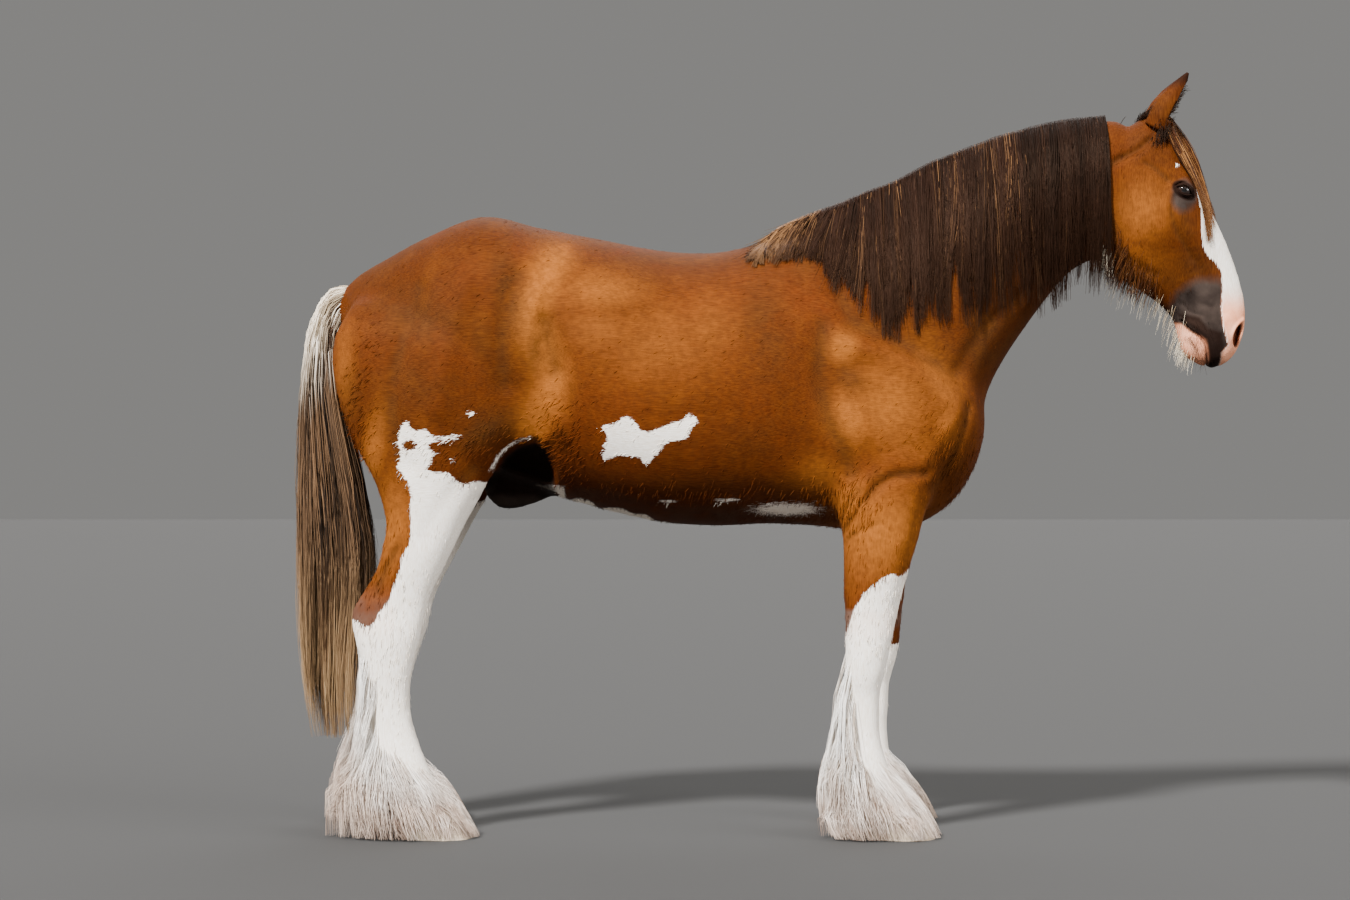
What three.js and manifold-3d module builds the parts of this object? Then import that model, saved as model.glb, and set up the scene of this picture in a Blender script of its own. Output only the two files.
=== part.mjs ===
// A life-size Clydesdale standing square on level ground, as a museum shows one: a bay with white legs, its
// mane combed to its right side, feathered feet and a full tail.
// Millimetres. It faces +X, its right side is towards -Y, and the ground is z = 0.
import * as THREE from "three";
import { mergeVertices } from "three/addons/utils/BufferGeometryUtils.js";
import Module from "manifold-3d";

const wasm = await Module();
wasm.setup();

const RIGHT = -1; // the side that the mane falls to
const LEFT = 1;
const GAP = 1; // how far a grown copy of one part stands off it, so that its neighbours clear it
const CUT = 0.35; // width of the thin cuts that part the body

// A body part is a row of stations down its length. Each station is one slice across it:
// [x and z of its upper or front edge, x and z of its lower or rear edge, half its width,
//  where it is widest as a share of the way from the first edge to the second, y of its middle].
const TORSO = [
  [-1242, 1575, -1248, 1340, 60, 0.5, 0],
  [-1213, 1610, -1207, 1250, 130, 0.5, 0],
  [-1130, 1657, -1100, 1180, 215, 0.48, 0],
  [-997, 1727, -968, 1122, 275, 0.46, 0],
  [-837, 1785, -822, 1046, 305, 0.46, 0],
  [-676, 1752, -682, 987, 318, 0.48, 0],
  [-501, 1720, -507, 935, 340, 0.52, 0],
  [-326, 1688, -326, 894, 352, 0.56, 0],
  [-165, 1682, -165, 882, 346, 0.57, 0],
  [-19, 1712, -13, 888, 322, 0.58, 0],
  [118, 1742, 127, 882, 290, 0.6, 0],
  [264, 1700, 270, 868, 272, 0.6, 0],
  [399, 1592, 410, 880, 258, 0.58, 0],
  [510, 1460, 521, 948, 222, 0.55, 0],
  [582, 1335, 588, 1048, 160, 0.5, 0],
  [618, 1244, 618, 1139, 75, 0.5, 0],
];
const NECK = [
  [20, 1660, 480, 1010, 170, 0.62, 0],
  [100, 1752, 590, 1175, 205, 0.62, 0],
  [206, 1806, 644, 1303, 188, 0.62, 0],
  [331, 1850, 685, 1378, 164, 0.62, 0],
  [463, 1918, 734, 1451, 142, 0.6, 0],
  [623, 1986, 796, 1536, 120, 0.58, 0],
  [784, 2036, 860, 1612, 104, 0.56, 0],
  [915, 2063, 924, 1653, 94, 0.55, 0],
  [1010, 2066, 990, 1668, 86, 0.5, 0],
  [1055, 2030, 1040, 1750, 50, 0.5, 0],
];
const HEAD = [
  [1015, 2020, 975, 1800, 50, 0.45, 0],
  [1094, 2080, 958, 1682, 91, 0.45, 0],
  [1162, 2045, 980, 1634, 102, 0.42, 0],
  [1205, 1983, 1013, 1603, 110, 0.4, 0],
  [1236, 1907, 1049, 1584, 110, 0.36, 0],
  [1266, 1837, 1079, 1564, 99, 0.38, 0],
  [1299, 1770, 1108, 1544, 84, 0.42, 0],
  [1330, 1706, 1134, 1523, 72, 0.45, 0],
  [1356, 1638, 1158, 1501, 66, 0.48, 0],
  [1374, 1580, 1172, 1476, 64, 0.5, 0],
  [1384, 1527, 1180, 1446, 68, 0.5, 0],
  [1384, 1478, 1188, 1411, 70, 0.48, 0],
  [1372, 1425, 1204, 1381, 64, 0.45, 0],
  [1356, 1388, 1230, 1362, 54, 0.45, 0],
  [1334, 1362, 1260, 1349, 38, 0.45, 0],
  [1314, 1350, 1284, 1344, 16, 0.45, 0],
];
const FORELEG = [
  [459, 1175, 203, 1175, 70, 0.5, 165],
  [492, 1075, 183, 1075, 98, 0.5, 180],
  [468, 996, 171, 996, 104, 0.5, 190],
  [439, 933, 183, 927, 99, 0.5, 200],
  [419, 862, 194, 862, 90, 0.5, 208],
  [394, 785, 197, 785, 79, 0.5, 211],
  [371, 705, 197, 705, 70, 0.5, 213],
  [354, 634, 200, 634, 63, 0.5, 214],
  [338, 560, 202, 560, 63, 0.5, 215],
  [320, 471, 200, 471, 60, 0.5, 215],
  [305, 415, 208, 415, 49, 0.5, 215],
  [303, 345, 214, 345, 45, 0.5, 215],
  [306, 285, 212, 282, 46, 0.5, 215],
  [328, 205, 198, 203, 55, 0.5, 215],
  [352, 152, 216, 148, 54, 0.5, 215],
  [396, 88, 246, 82, 68, 0.5, 215],
];
const FOREHOOF = [
  [396, 87.7, 246, 81.7, 68, 0.5, 215],
  [428, 45, 252, 42, 80, 0.45, 215],
  [459, 0, 262, 0, 92, 0.42, 215],
];
const FOREFEATHER = [
  [338, 545, 188, 560, 58, 0.5, 215],
  [322, 415, 168, 430, 60, 0.5, 215],
  [322, 330, 160, 340, 66, 0.5, 215],
  [345, 230, 145, 240, 78, 0.5, 215],
  [388, 150, 125, 165, 104, 0.5, 215],
  [438, 85, 120, 85, 128, 0.5, 215],
  [484, 6, 130, 6, 138, 0.5, 215],
];
const HINDLEG = [
  [-767, 1532, -1213, 1532, 80, 0.5, 150],
  [-704, 1432, -1258, 1432, 126, 0.5, 170],
  [-678, 1332, -1266, 1332, 138, 0.5, 178],
  [-675, 1235, -1246, 1238, 138, 0.5, 182],
  [-712, 1155, -1214, 1158, 130, 0.5, 186],
  [-758, 1098, -1187, 1098, 118, 0.5, 190],
  [-812, 1010, -1140, 1010, 98, 0.5, 196],
  [-872, 904, -1109, 904, 79, 0.5, 202],
  [-906, 833, -1117, 833, 68, 0.5, 206],
  [-941, 762, -1135, 762, 58, 0.5, 208],
  [-969, 705, -1172, 700, 52, 0.5, 209],
  [-989, 648, -1206, 644, 51, 0.5, 210],
  [-1004, 575, -1201, 580, 57, 0.5, 210],
  [-1028, 482, -1176, 482, 51, 0.5, 210],
  [-1037, 415, -1162, 415, 44, 0.5, 210],
  [-1033, 350, -1157, 350, 42, 0.5, 210],
  [-1018, 290, -1154, 288, 45, 0.5, 210],
  [-985, 210, -1150, 206, 56, 0.5, 210],
  [-958, 152, -1126, 148, 55, 0.5, 210],
  [-910, 86, -1084, 80, 68, 0.5, 210],
];
const HINDHOOF = [
  [-910, 85.7, -1084, 79.7, 68, 0.5, 210],
  [-886, 45, -1076, 42, 78, 0.45, 210],
  [-861, 0, -1066, 0, 88, 0.42, 210],
];
const HINDFEATHER = [
  [-1000, 560, -1205, 580, 55, 0.5, 210],
  [-1022, 440, -1190, 450, 58, 0.5, 210],
  [-1020, 340, -1200, 350, 64, 0.5, 210],
  [-984, 240, -1225, 260, 80, 0.5, 210],
  [-936, 160, -1255, 180, 104, 0.5, 210],
  [-882, 85, -1275, 100, 126, 0.5, 210],
  [-836, 6, -1278, 6, 136, 0.5, 210],
];
const SHEATH = [
  [-620, 1060, -620, 985, 26, 0.5, 0],
  [-670, 1075, -665, 955, 44, 0.5, 0],
  [-735, 1090, -720, 935, 52, 0.5, 0],
  [-800, 1100, -785, 928, 46, 0.5, 0],
  [-850, 1100, -840, 970, 28, 0.5, 0],
];
const DOCK = [
  [-1190, 1588, -1205, 1520, 34, 0.5, 0],
  [-1262, 1572, -1238, 1510, 40, 0.5, 0],
  [-1318, 1510, -1262, 1475, 42, 0.5, 0],
  [-1346, 1420, -1280, 1412, 42, 0.5, 0],
  [-1358, 1300, -1292, 1300, 40, 0.5, 0],
  [-1358, 1150, -1288, 1150, 34, 0.5, 0],
  [-1350, 1000, -1300, 1000, 22, 0.5, 0],
];
const TAIL = [
  [-1190, 1590, -1205, 1510, 34, 0.5, 0],
  [-1275, 1582, -1240, 1500, 48, 0.5, 0],
  [-1330, 1513, -1275, 1440, 60, 0.5, 0],
  [-1356, 1410, -1285, 1370, 74, 0.5, 0],
  [-1372, 1240, -1262, 1220, 86, 0.5, 0],
  [-1382, 1000, -1200, 1000, 92, 0.5, 0],
  [-1384, 780, -1162, 780, 88, 0.5, 0],
  [-1380, 560, -1205, 560, 72, 0.5, 0],
  [-1350, 400, -1236, 400, 48, 0.5, 0],
  [-1290, 255, -1248, 255, 16, 0.5, 0],
];

// Hair: how many locks, how wide and thick each is at its widest, and the lines that they follow.
const MANE = {
  locks: 22,
  width: 70,
  thick: 16,
  crest: [[-28, 1700], [80, 1765], [206, 1808], [375, 1878], [550, 1960], [784, 2040], [960, 2068]],
  lengths: [[20, 130], [150, 190], [240, 400], [345, 480], [440, 545], [560, 545], [700, 500], [850, 460], [965, 420]],
  sweep: [[-28, 120], [80, 110], [200, 60], [300, 0]], // how far back a lock is swept as it falls
  layers: [10, 26], // how far the locks lie off the skin, one after the other
};
const TAIL_HAIR = { locks: 13, width: 92, thick: 36 };
const FORELOCK = { locks: 5, width: 30, thick: 9, spread: 40, root: [1118, 2068], tip: 1730 };
const BEARD = { locks: 7, width: 34, thick: 12, from: [975, 1650], to: [1172, 1470], length: 85 };
const FEATHER_ROWS = [
  // how many locks round the leg, how far they spread each way from the rear, where they start and end as shares
  // of the feather's height, and how far out towards the feather's form they lie just below their roots
  { locks: 3, spread: 50, from: 0.02, to: 0.6, out: 0.85, width: 56, thick: 22 },
  { locks: 4, spread: 100, from: 0.3, to: 0.84, out: 0.88, width: 84, thick: 26 },
  { locks: 8, spread: 180, from: 0.64, to: 1, out: 0.86, width: 108, thick: 26 },
];

// The left legs stand a little ahead of or behind the right ones: [z, how far].
const LEFT_LEAD = {
  fore: [[0, 20], [180, 30], [330, 55], [520, 60], [1000, 5]],
  hind: [[0, -55], [180, -55], [560, -15], [1000, 0]],
};

// The cuts that part the body, each a line in the side view that the cut runs along: [x, z] to [x, z].
const NECK_CUT = [[10, 1790], [640, 1240]];
const HEAD_CUT = [[1006, 2110], [932, 1620]];
const FORE_CUT = [[560, 1010], [120, 960]];
const KNEE_CUT = [[420, 575], [140, 575]];
const HIND_CUT = [[-600, 1060], [-1320, 1220]];
const HOCK_CUT = [[-900, 600], [-1300, 600]];

// Muscle and bone that swell or hollow the sides: where, how long and how high, turned how many degrees,
// and how far the side rises there.
const SIDE_FORMS = [
  { x: 330, z: 1330, long: 210, high: 70, turn: -28, rise: 20 }, // shoulder blade's spine
  { x: 170, z: 1290, long: 70, high: 90, turn: 0, rise: -14 }, // hollow behind the shoulder blade
  { x: 330, z: 1120, long: 130, high: 90, turn: -20, rise: 16 }, // long head of the triceps
  { x: 500, z: 1180, long: 70, high: 90, turn: 20, rise: 18 }, // point of the shoulder
  { x: -640, z: 1330, long: 55, high: 150, turn: 10, rise: -26 }, // flank's hollow
  { x: -700, z: 1620, long: 80, high: 55, turn: 0, rise: 16 }, // point of the hip
  { x: -950, z: 1430, long: 70, high: 170, turn: 12, rise: 12 }, // thigh's front muscle
  { x: -760, z: 1150, long: 70, high: 70, turn: 0, rise: 10 }, // stifle
];
const HEAD_FORMS = [
  { x: 1193, z: 1893, long: 46, high: 16, turn: -22, rise: 9 }, // brow over the eye
  { x: 1150, z: 1925, long: 30, high: 26, turn: 0, rise: -8 }, // hollow above the eye
  { x: 1085, z: 1760, long: 75, high: 95, turn: -25, rise: 12 }, // cheek muscle
  { x: 1205, z: 1735, long: 18, high: 85, turn: 28, rise: 8 }, // facial crest
  { x: 1255, z: 1610, long: 45, high: 60, turn: 0, rise: -6 }, // hollow behind the nostril
  { x: 1340, z: 1465, long: 32, high: 50, turn: 20, rise: 10 }, // nostril's flare
];

const EYE = { x: 1188, y: 89, z: 1853, radius: 24, lid: 4.5, width: 50, height: 27, turn: -24 };
const NOSTRIL = { x: 1356, y: 60, z: 1444, long: 34, wide: 11, deep: 26, turn: 14 };
const MOUTH = { line: [[1272, 1338], [1270, 1420], [1206, 1487]], width: 4 };
const EAR = {
  root: [1116, 54, 2036], // x, y and z of its root's middle
  tip: [1203, 78, 2196],
  opening: [1, 0.12, -0.3], // which way its cup faces
  widths: [[0, 23], [0.2, 28], [0.45, 31], [0.7, 24], [0.9, 11], [1, 3]], // half its width from root to tip
  depth: 1.25, // share of its width
  bow: 8, // how far its back bows out
  wall: 5,
  shift: 0.7, // how far ahead of the ear's middle the cup's own middle lies, as a share of its width
};

const COAT = {
  bay: { color: 0x9a5426, roughness: 0.55, metalness: 0 },
  white: { color: 0xefe9e0, roughness: 0.7, metalness: 0 },
  tail: { color: 0x574335, roughness: 0.6, metalness: 0 },
  hoof: { color: 0xb7a58e, roughness: 0.5, metalness: 0 },
  eye: { color: 0x17110e, roughness: 0.1, metalness: 0 },
};

// A value between the rows of a table of [place, value].
function between(table, at) {
  if (at <= table[0][0]) return table[0][1];
  for (let i = 1; i < table.length; i++) {
    const [[a, low], [b, high]] = [table[i - 1], table[i]];
    if (at <= b) return low + ((high - low) * (at - a)) / (b - a);
  }
  return table.at(-1)[1];
}

function solid(geometry) {
  geometry.deleteAttribute("normal");
  geometry.deleteAttribute("uv");
  const { attributes, index } = mergeVertices(geometry, 1e-3);
  const triVerts = new Uint32Array(index.array);
  return new wasm.Manifold(new wasm.Mesh({ numProp: 3, vertProperties: attributes.position.array, triVerts }));
}

// A solid from a geometry that may have come out inside out.
function facingOut(geometry) {
  const made = solid(geometry);
  if (made.volume() > 0) return made;
  const index = geometry.index.array;
  for (let i = 0; i < index.length; i += 3) [index[i + 1], index[i + 2]] = [index[i + 2], index[i + 1]];
  return solid(geometry);
}

function geometryOf(manifold) {
  const { vertProperties, triVerts } = manifold.getMesh();
  const geometry = new THREE.BufferGeometry();
  geometry.setAttribute("position", new THREE.BufferAttribute(new Float32Array(vertProperties), 3));
  geometry.setIndex(new THREE.BufferAttribute(new Uint32Array(triVerts), 1));
  geometry.computeVertexNormals();
  return geometry;
}

// The largest closed surface, which leaves out loose scraps and the walls of sealed hollows.
function largest(manifold) {
  return manifold.decompose().reduce((best, piece) => (piece.volume() > best.volume() ? piece : best));
}

const union = (...manifolds) => manifolds.reduce((all, next) => all.add(next));

// A cylinder whose vertices are moved by place(angle, share along, share of the radius).
function shaped(around, along, place) {
  const geometry = new THREE.CylinderGeometry(1, 1, 1, around, along);
  const position = geometry.attributes.position;
  const rounded = (value) => Math.round(value * 1e6) / 1e6;
  for (let i = 0; i < position.count; i++) {
    const [x, y, z] = [position.getX(i), position.getY(i), position.getZ(i)];
    const p = place(rounded(Math.atan2(z, x)), rounded(0.5 - y), rounded(Math.hypot(x, z)));
    position.setXYZ(i, p.x, p.y, p.z);
  }
  return geometry;
}

function swelling(forms, x, z) {
  let rise = 0;
  for (const form of forms) {
    const turn = THREE.MathUtils.degToRad(form.turn);
    const [dx, dz] = [x - form.x, z - form.z];
    const u = (dx * Math.cos(turn) + dz * Math.sin(turn)) / form.long;
    const v = (dz * Math.cos(turn) - dx * Math.sin(turn)) / form.high;
    rise += form.rise * Math.exp(-u * u - v * v);
  }
  return rise;
}

// The smooth surface through stations, as a function of the angle from the first edge, the share along and
// the share of the way out from its core. grow stands it off on all sides, and a fullness under 1 squares it.
function surface(stations, { grow = 0, side = LEFT, forms = [], lead = [[0, 0]], fullness = 1 }) {
  const curve = (pick) => new THREE.CatmullRomCurve3(stations.map((s) => new THREE.Vector3(...pick(s))), false, "catmullrom");
  const first = curve((s) => [s[0], 0, s[1]]);
  const second = curve((s) => [s[2], 0, s[3]]);
  const breadth = curve((s) => [s[4], s[5], s[6]]);
  const middleAt = (t) => first.getPoint(t).lerp(second.getPoint(t), 0.5);
  return (angle, t, radius) => {
    const a = first.getPoint(t);
    const b = second.getPoint(t);
    const { x: half, y: widest, z: middle } = breadth.getPoint(t);
    const outward = b.clone().sub(a).normalize();
    a.addScaledVector(outward, -grow);
    b.addScaledVector(outward, grow);
    const share = ((1 - Math.cos(angle)) / 2) ** (Math.log(widest) / Math.log(0.5));
    const p = a.clone().lerp(b, THREE.MathUtils.lerp(widest, share, radius));
    const sine = Math.sign(Math.sin(angle)) * Math.abs(Math.sin(angle)) ** fullness;
    p.y = (half + grow + swelling(forms, p.x, p.z)) * sine * radius + side * middle;
    if (t === 0) p.addScaledVector(middleAt(0).sub(middleAt(0.01)).normalize(), grow);
    if (t === 1) p.addScaledVector(middleAt(1).sub(middleAt(0.99)).normalize(), grow);
    if (side === LEFT) p.x += between(lead, p.z);
    return p;
  };
}

function loft(stations, options) {
  const { around, steps = 1 } = options;
  return facingOut(shaped(around, (stations.length - 1) * steps, surface(stations, options)));
}

// A lock of hair through points: flat towards the skin along across, with a low ridge outside. It tapers from
// near its middle, the later the more blunt it is.
function lock(points, across, width, thick, steps = 5, blunt = 1.8) {
  const path = new THREE.CatmullRomCurve3(points);
  const place = (angle, t, radius) => {
    const tangent = path.getTangentAt(t);
    const flat = across.clone().addScaledVector(tangent, -across.dot(tangent)).normalize();
    const normal = tangent.cross(flat);
    const taper = t < 0.4 ? 0.75 + 0.6 * t : Math.max(0.99 * (1 - ((t - 0.4) / 0.6) ** blunt), 0.06);
    const p = path.getPointAt(t).addScaledVector(flat, (Math.cos(angle) * radius * width * taper) / 2);
    return p.addScaledVector(normal, (Math.sin(angle) * radius * thick * Math.max(taper, 0.15)) / 2);
  };
  return facingOut(shaped(3, steps, place));
}

// The same draws each run, from -1 to 1
function seeded(seed) {
  let state = seed;
  return () => {
    state = (state * 1664525 + 1013904223) % 4294967296;
    return state / 2147483648 - 1;
  };
}

// The two sides of a cut along a line in the side view, as big blocks that keep gap between them.
function cutBlocks([[x1, z1], [x2, z2]], gap = CUT) {
  const size = 6000;
  return [1, -1].map((way) => {
    const block = new THREE.BoxGeometry(size, size, size);
    block.translate(0, 0, (way * (size + gap)) / 2);
    block.rotateY(-Math.atan2(z2 - z1, x2 - x1));
    block.translate((x1 + x2) / 2, 0, (z1 + z2) / 2);
    return solid(block);
  });
}

// Flesh, each form also as a copy that stands off it by grow
const torsoOf = (grow) =>
  loft(TORSO, { around: 22, grow, forms: SIDE_FORMS, fullness: 0.9 }).add(loft(SHEATH, { around: 12, grow }));
const neckOf = (grow) => loft(NECK, { around: 20, grow });
const headOf = (grow) => loft(HEAD, { around: 22, steps: 2, grow, forms: HEAD_FORMS });
const foreOf = (side, grow) => loft(FORELEG, { around: 12, grow, side, lead: LEFT_LEAD.fore });
const hindOf = (side, grow) => loft(HINDLEG, { around: 16, grow, side, lead: LEFT_LEAD.hind, forms: SIDE_FORMS });

const [belowFore, aboveFore] = cutBlocks(FORE_CUT);
const [belowHind, aboveHind] = cutBlocks(HIND_CUT);
const [belowKnee, aboveKnee] = cutBlocks(KNEE_CUT);
const [belowHock, aboveHock] = cutBlocks(HOCK_CUT);
const [aheadNeck] = cutBlocks(NECK_CUT);
const [aheadHead, behindHead] = cutBlocks(HEAD_CUT);

function trunkOf(grow) {
  const [, behindNeck] = cutBlocks(NECK_CUT, grow ? -CUT : CUT);
  const upperLegs = [LEFT, RIGHT].flatMap((side) => [
    foreOf(side, grow).intersect(aboveFore),
    hindOf(side, grow).intersect(aboveHind),
  ]);
  return union(torsoOf(grow), neckOf(grow).intersect(behindNeck), ...upperLegs);
}

function eyeball(side, grow = 0) {
  const ball = new THREE.SphereGeometry(EYE.radius + grow, 12, 8);
  ball.translate(EYE.x, side * EYE.y, EYE.z);
  return solid(ball);
}

// The lids are a thin shell over the eyeball, open along an almond.
function eyelids(head, side) {
  const shell = new THREE.SphereGeometry(EYE.radius + EYE.lid, 12, 7);
  shell.translate(EYE.x, side * EYE.y, EYE.z);
  const almond = new THREE.Shape();
  almond.moveTo(-EYE.width / 2, 0);
  almond.quadraticCurveTo(0, EYE.height * 1.1, EYE.width / 2, 0);
  almond.quadraticCurveTo(0, -EYE.height * 0.9, -EYE.width / 2, 0);
  const opening = new THREE.ExtrudeGeometry(almond, { depth: 60, bevelEnabled: false, curveSegments: 4 });
  opening.rotateX(Math.PI / 2);
  opening.rotateY(THREE.MathUtils.degToRad(-EYE.turn));
  opening.translate(EYE.x, side * (EYE.y + 30) + 30, EYE.z);
  return head.add(solid(shell)).subtract(solid(opening).add(eyeball(side, GAP)));
}

function nostril(side) {
  const pit = new THREE.SphereGeometry(1, 10, 6);
  pit.scale(NOSTRIL.wide, NOSTRIL.deep, NOSTRIL.long);
  pit.rotateY(THREE.MathUtils.degToRad(NOSTRIL.turn));
  pit.translate(NOSTRIL.x, side * NOSTRIL.y, NOSTRIL.z);
  return solid(pit);
}

// The line of the mouth is a thin curved slot through the muzzle.
function mouthSlot() {
  const line = new THREE.QuadraticBezierCurve(...MOUTH.line.map(([x, z]) => new THREE.Vector2(x, z)));
  const points = line.getPoints(4);
  const [tip, next] = points;
  points.unshift(tip.clone().multiplyScalar(2).sub(next));
  const edge = points.map((p) => new THREE.Vector2(p.x + MOUTH.width / 2, p.y));
  const back = points.map((p) => new THREE.Vector2(p.x - MOUTH.width / 2, p.y)).reverse();
  const slot = new THREE.ExtrudeGeometry(new THREE.Shape([...edge, ...back]), { depth: 240, bevelEnabled: false });
  slot.rotateX(Math.PI / 2);
  slot.translate(0, 120, 0);
  return solid(slot);
}

// An ear is a leaf with a cup hollowed out of its open side.
function ear(side) {
  const placed = ([x, y, z]) => new THREE.Vector3(x, side * y, z);
  const root = placed(EAR.root);
  const tip = placed(EAR.tip);
  const axis = tip.clone().sub(root).normalize();
  const open = placed(EAR.opening);
  open.addScaledVector(axis, -open.dot(axis)).normalize();
  const across = axis.clone().cross(open);
  const bowed = root.clone().lerp(tip, 0.5).addScaledVector(open, -EAR.bow);
  const path = new THREE.QuadraticBezierCurve3(root, bowed, tip);
  const leaf = (inset, shift, from, to) => (angle, along, radius) => {
    const t = THREE.MathUtils.lerp(from, to, along);
    const wide = Math.max(between(EAR.widths, t) - inset, 2);
    const p = path.getPoint(t);
    p.addScaledVector(across, wide * Math.sin(angle) * radius);
    return p.addScaledVector(open, wide * (EAR.depth * Math.cos(angle) * radius + shift));
  };
  const outer = facingOut(shaped(14, 7, leaf(0, 0, 0, 1)));
  return outer.subtract(facingOut(shaped(10, 5, leaf(EAR.wall, EAR.shift, 0.22, 0.9))));
}

const trunk = trunkOf(0);
const trunkGrown = trunkOf(GAP);
const headGrown = union(headOf(GAP), neckOf(GAP)).intersect(cutBlocks(HEAD_CUT, -CUT)[0]);

let head = union(headOf(0), neckOf(0)).intersect(aheadHead);
for (const side of [LEFT, RIGHT]) head = eyelids(head, side).subtract(nostril(side));
head = head.subtract(mouthSlot());
const neck = union(neckOf(0), headOf(0)).intersect(aheadNeck).intersect(behindHead);

// Hair lies on the flesh, so where it lies is found by rays on the whole body.
const wholeBody = new THREE.Mesh(
  geometryOf(union(trunk, neckOf(0), headOf(0))),
  new THREE.MeshBasicMaterial({ side: THREE.DoubleSide }),
);
const ray = new THREE.Raycaster();
function skinAt(x, z, side) {
  ray.set(new THREE.Vector3(x, side * 2000, z), new THREE.Vector3(0, -side, 0));
  const [hit] = ray.intersectObject(wholeBody);
  return hit ? Math.abs(hit.point.y) : 0;
}

const skinAhead = (y, z) => {
  ray.set(new THREE.Vector3(3000, y, z), new THREE.Vector3(-1, 0, 0));
  return ray.intersectObject(wholeBody)[0].point.x;
};

// The mane's locks start inside the crest, turn over it and hang down the right side.
function mane() {
  const crest = new THREE.SplineCurve(MANE.crest.map(([x, z]) => new THREE.Vector2(x, z)));
  const draw = seeded(5);
  const locks = [];
  for (let i = 0; i < MANE.locks; i++) {
    const { x, y: z } = crest.getPointAt((i + 0.5 + 0.25 * draw()) / MANE.locks);
    const length = between(MANE.lengths, x) * (1 + 0.08 * draw());
    const back = between(MANE.sweep, x);
    const lean = 14 * draw();
    const off = MANE.layers[i % MANE.layers.length];
    const points = [new THREE.Vector3(x, 14, z - 34), new THREE.Vector3(x, -4, z + off - 4)];
    for (const down of [0.14, 0.36, 0.62, 0.84, 1]) {
      const at = [x - back * down + lean * down * down, z - length * down];
      points.push(new THREE.Vector3(at[0], RIGHT * (Math.max(skinAt(...at, RIGHT), 34) + off), at[1]));
    }
    locks.push(lock(points, new THREE.Vector3(1, 0, 0), MANE.width, MANE.thick, 6));
  }
  return union(...locks);
}

function forelock() {
  const draw = seeded(3);
  const locks = [];
  for (let i = 0; i < FORELOCK.locks; i++) {
    const across = (2 * i) / (FORELOCK.locks - 1) - 1;
    const y = FORELOCK.spread * across;
    const [x, z] = FORELOCK.root;
    const tip = FORELOCK.tip + 90 * Math.abs(across - RIGHT * 0.5) + 20 * draw();
    const points = [new THREE.Vector3(x, y * 0.3, z - 30), new THREE.Vector3(x + 34, y * 0.4, z + 4)];
    for (const down of [0.25, 0.5, 0.75, 1]) {
      const [side, height] = [y * (0.4 + 0.9 * down), THREE.MathUtils.lerp(z, tip, down)];
      points.push(new THREE.Vector3(skinAhead(side, height) + 7 + 4 * (i % 2), side, height));
    }
    locks.push(lock(points, new THREE.Vector3(0, 1, 0), FORELOCK.width, FORELOCK.thick));
  }
  return union(...locks);
}

// Long hair under the jaw hangs back and down.
function beard() {
  const draw = seeded(9);
  const locks = [];
  for (let i = 0; i < BEARD.locks; i++) {
    const share = i / (BEARD.locks - 1);
    const x = THREE.MathUtils.lerp(BEARD.from[0], BEARD.to[0], share);
    const z = THREE.MathUtils.lerp(BEARD.from[1], BEARD.to[1], share);
    const y = 16 * (i % 2 ? 1 : -1);
    const length = BEARD.length * (0.7 + 0.5 * Math.sin(Math.PI * share) + 0.12 * draw());
    const points = [
      new THREE.Vector3(x + 6, y * 0.6, z + 34),
      new THREE.Vector3(x + 4, y, z - length * 0.2),
      new THREE.Vector3(x, y * 1.1, z - length * 0.6),
      new THREE.Vector3(x - 8, y, z - length),
    ];
    locks.push(lock(points, new THREE.Vector3(0.8, 0, -0.6), BEARD.width, BEARD.thick, 4));
  }
  return union(...locks);
}

// The tail's locks start in the dock, swell out to the tail's form and run down it.
function tail() {
  const form = surface(TAIL, {});
  const draw = seeded(11);
  const locks = [loft(DOCK, { around: 12 })];
  for (let i = 0; i < TAIL_HAIR.locks; i++) {
    const angle = i * 2.4; // radians: the golden angle spreads them round and down
    const start = 0.05 + (0.3 * i) / TAIL_HAIR.locks;
    const end = 0.86 + 0.14 * Math.abs(draw());
    const out = i % 2 ? 0.62 : 0.86;
    const points = [form(angle, start, 0.1)];
    for (const down of [0.12, 0.35, 0.6, 0.8, 1]) {
      points.push(form(angle, THREE.MathUtils.lerp(start, end, down), Math.min(out, 0.25 + 2 * down)));
    }
    const across = form(angle - 0.4, 0.5, 1).sub(form(angle + 0.4, 0.5, 1)).setZ(0).normalize();
    locks.push(lock(points, across, TAIL_HAIR.width, TAIL_HAIR.thick, 6));
  }
  return union(...locks);
}

// The feather's rows of locks start in the leg and spread over the hoof, out to the form of the whole feather.
function feather(stations, options, seed) {
  const form = surface(stations, options);
  const draw = seeded(seed);
  const locks = [];
  for (const row of FEATHER_ROWS) {
    for (let i = 0; i < row.locks; i++) {
      const share = (2 * (i + 0.5)) / row.locks - 1;
      const angle = Math.PI + THREE.MathUtils.degToRad(row.spread) * share;
      const [from, to] = [row.from + 0.02 * draw(), Math.min(row.to, row.to - 0.02 + 0.02 * draw())];
      const points = [form(angle, from, 0.3)];
      for (const down of [0.3, 0.65, 1]) {
        const out = THREE.MathUtils.lerp(row.out, 0.97, down);
        points.push(form(angle, THREE.MathUtils.lerp(from, to, down), out));
      }
      const across = form(angle + 0.4, to, 1).sub(form(angle - 0.4, to, 1)).setZ(0).normalize();
      locks.push(lock(points, across, row.width, row.thick, 3, 3));
    }
  }
  return union(...locks);
}

// Nodes
const horse = new THREE.Group();
function add(name, manifold, look) {
  const mesh = new THREE.Mesh(geometryOf(largest(manifold)), new THREE.MeshStandardMaterial(look));
  mesh.name = name;
  horse.add(mesh);
}

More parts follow.
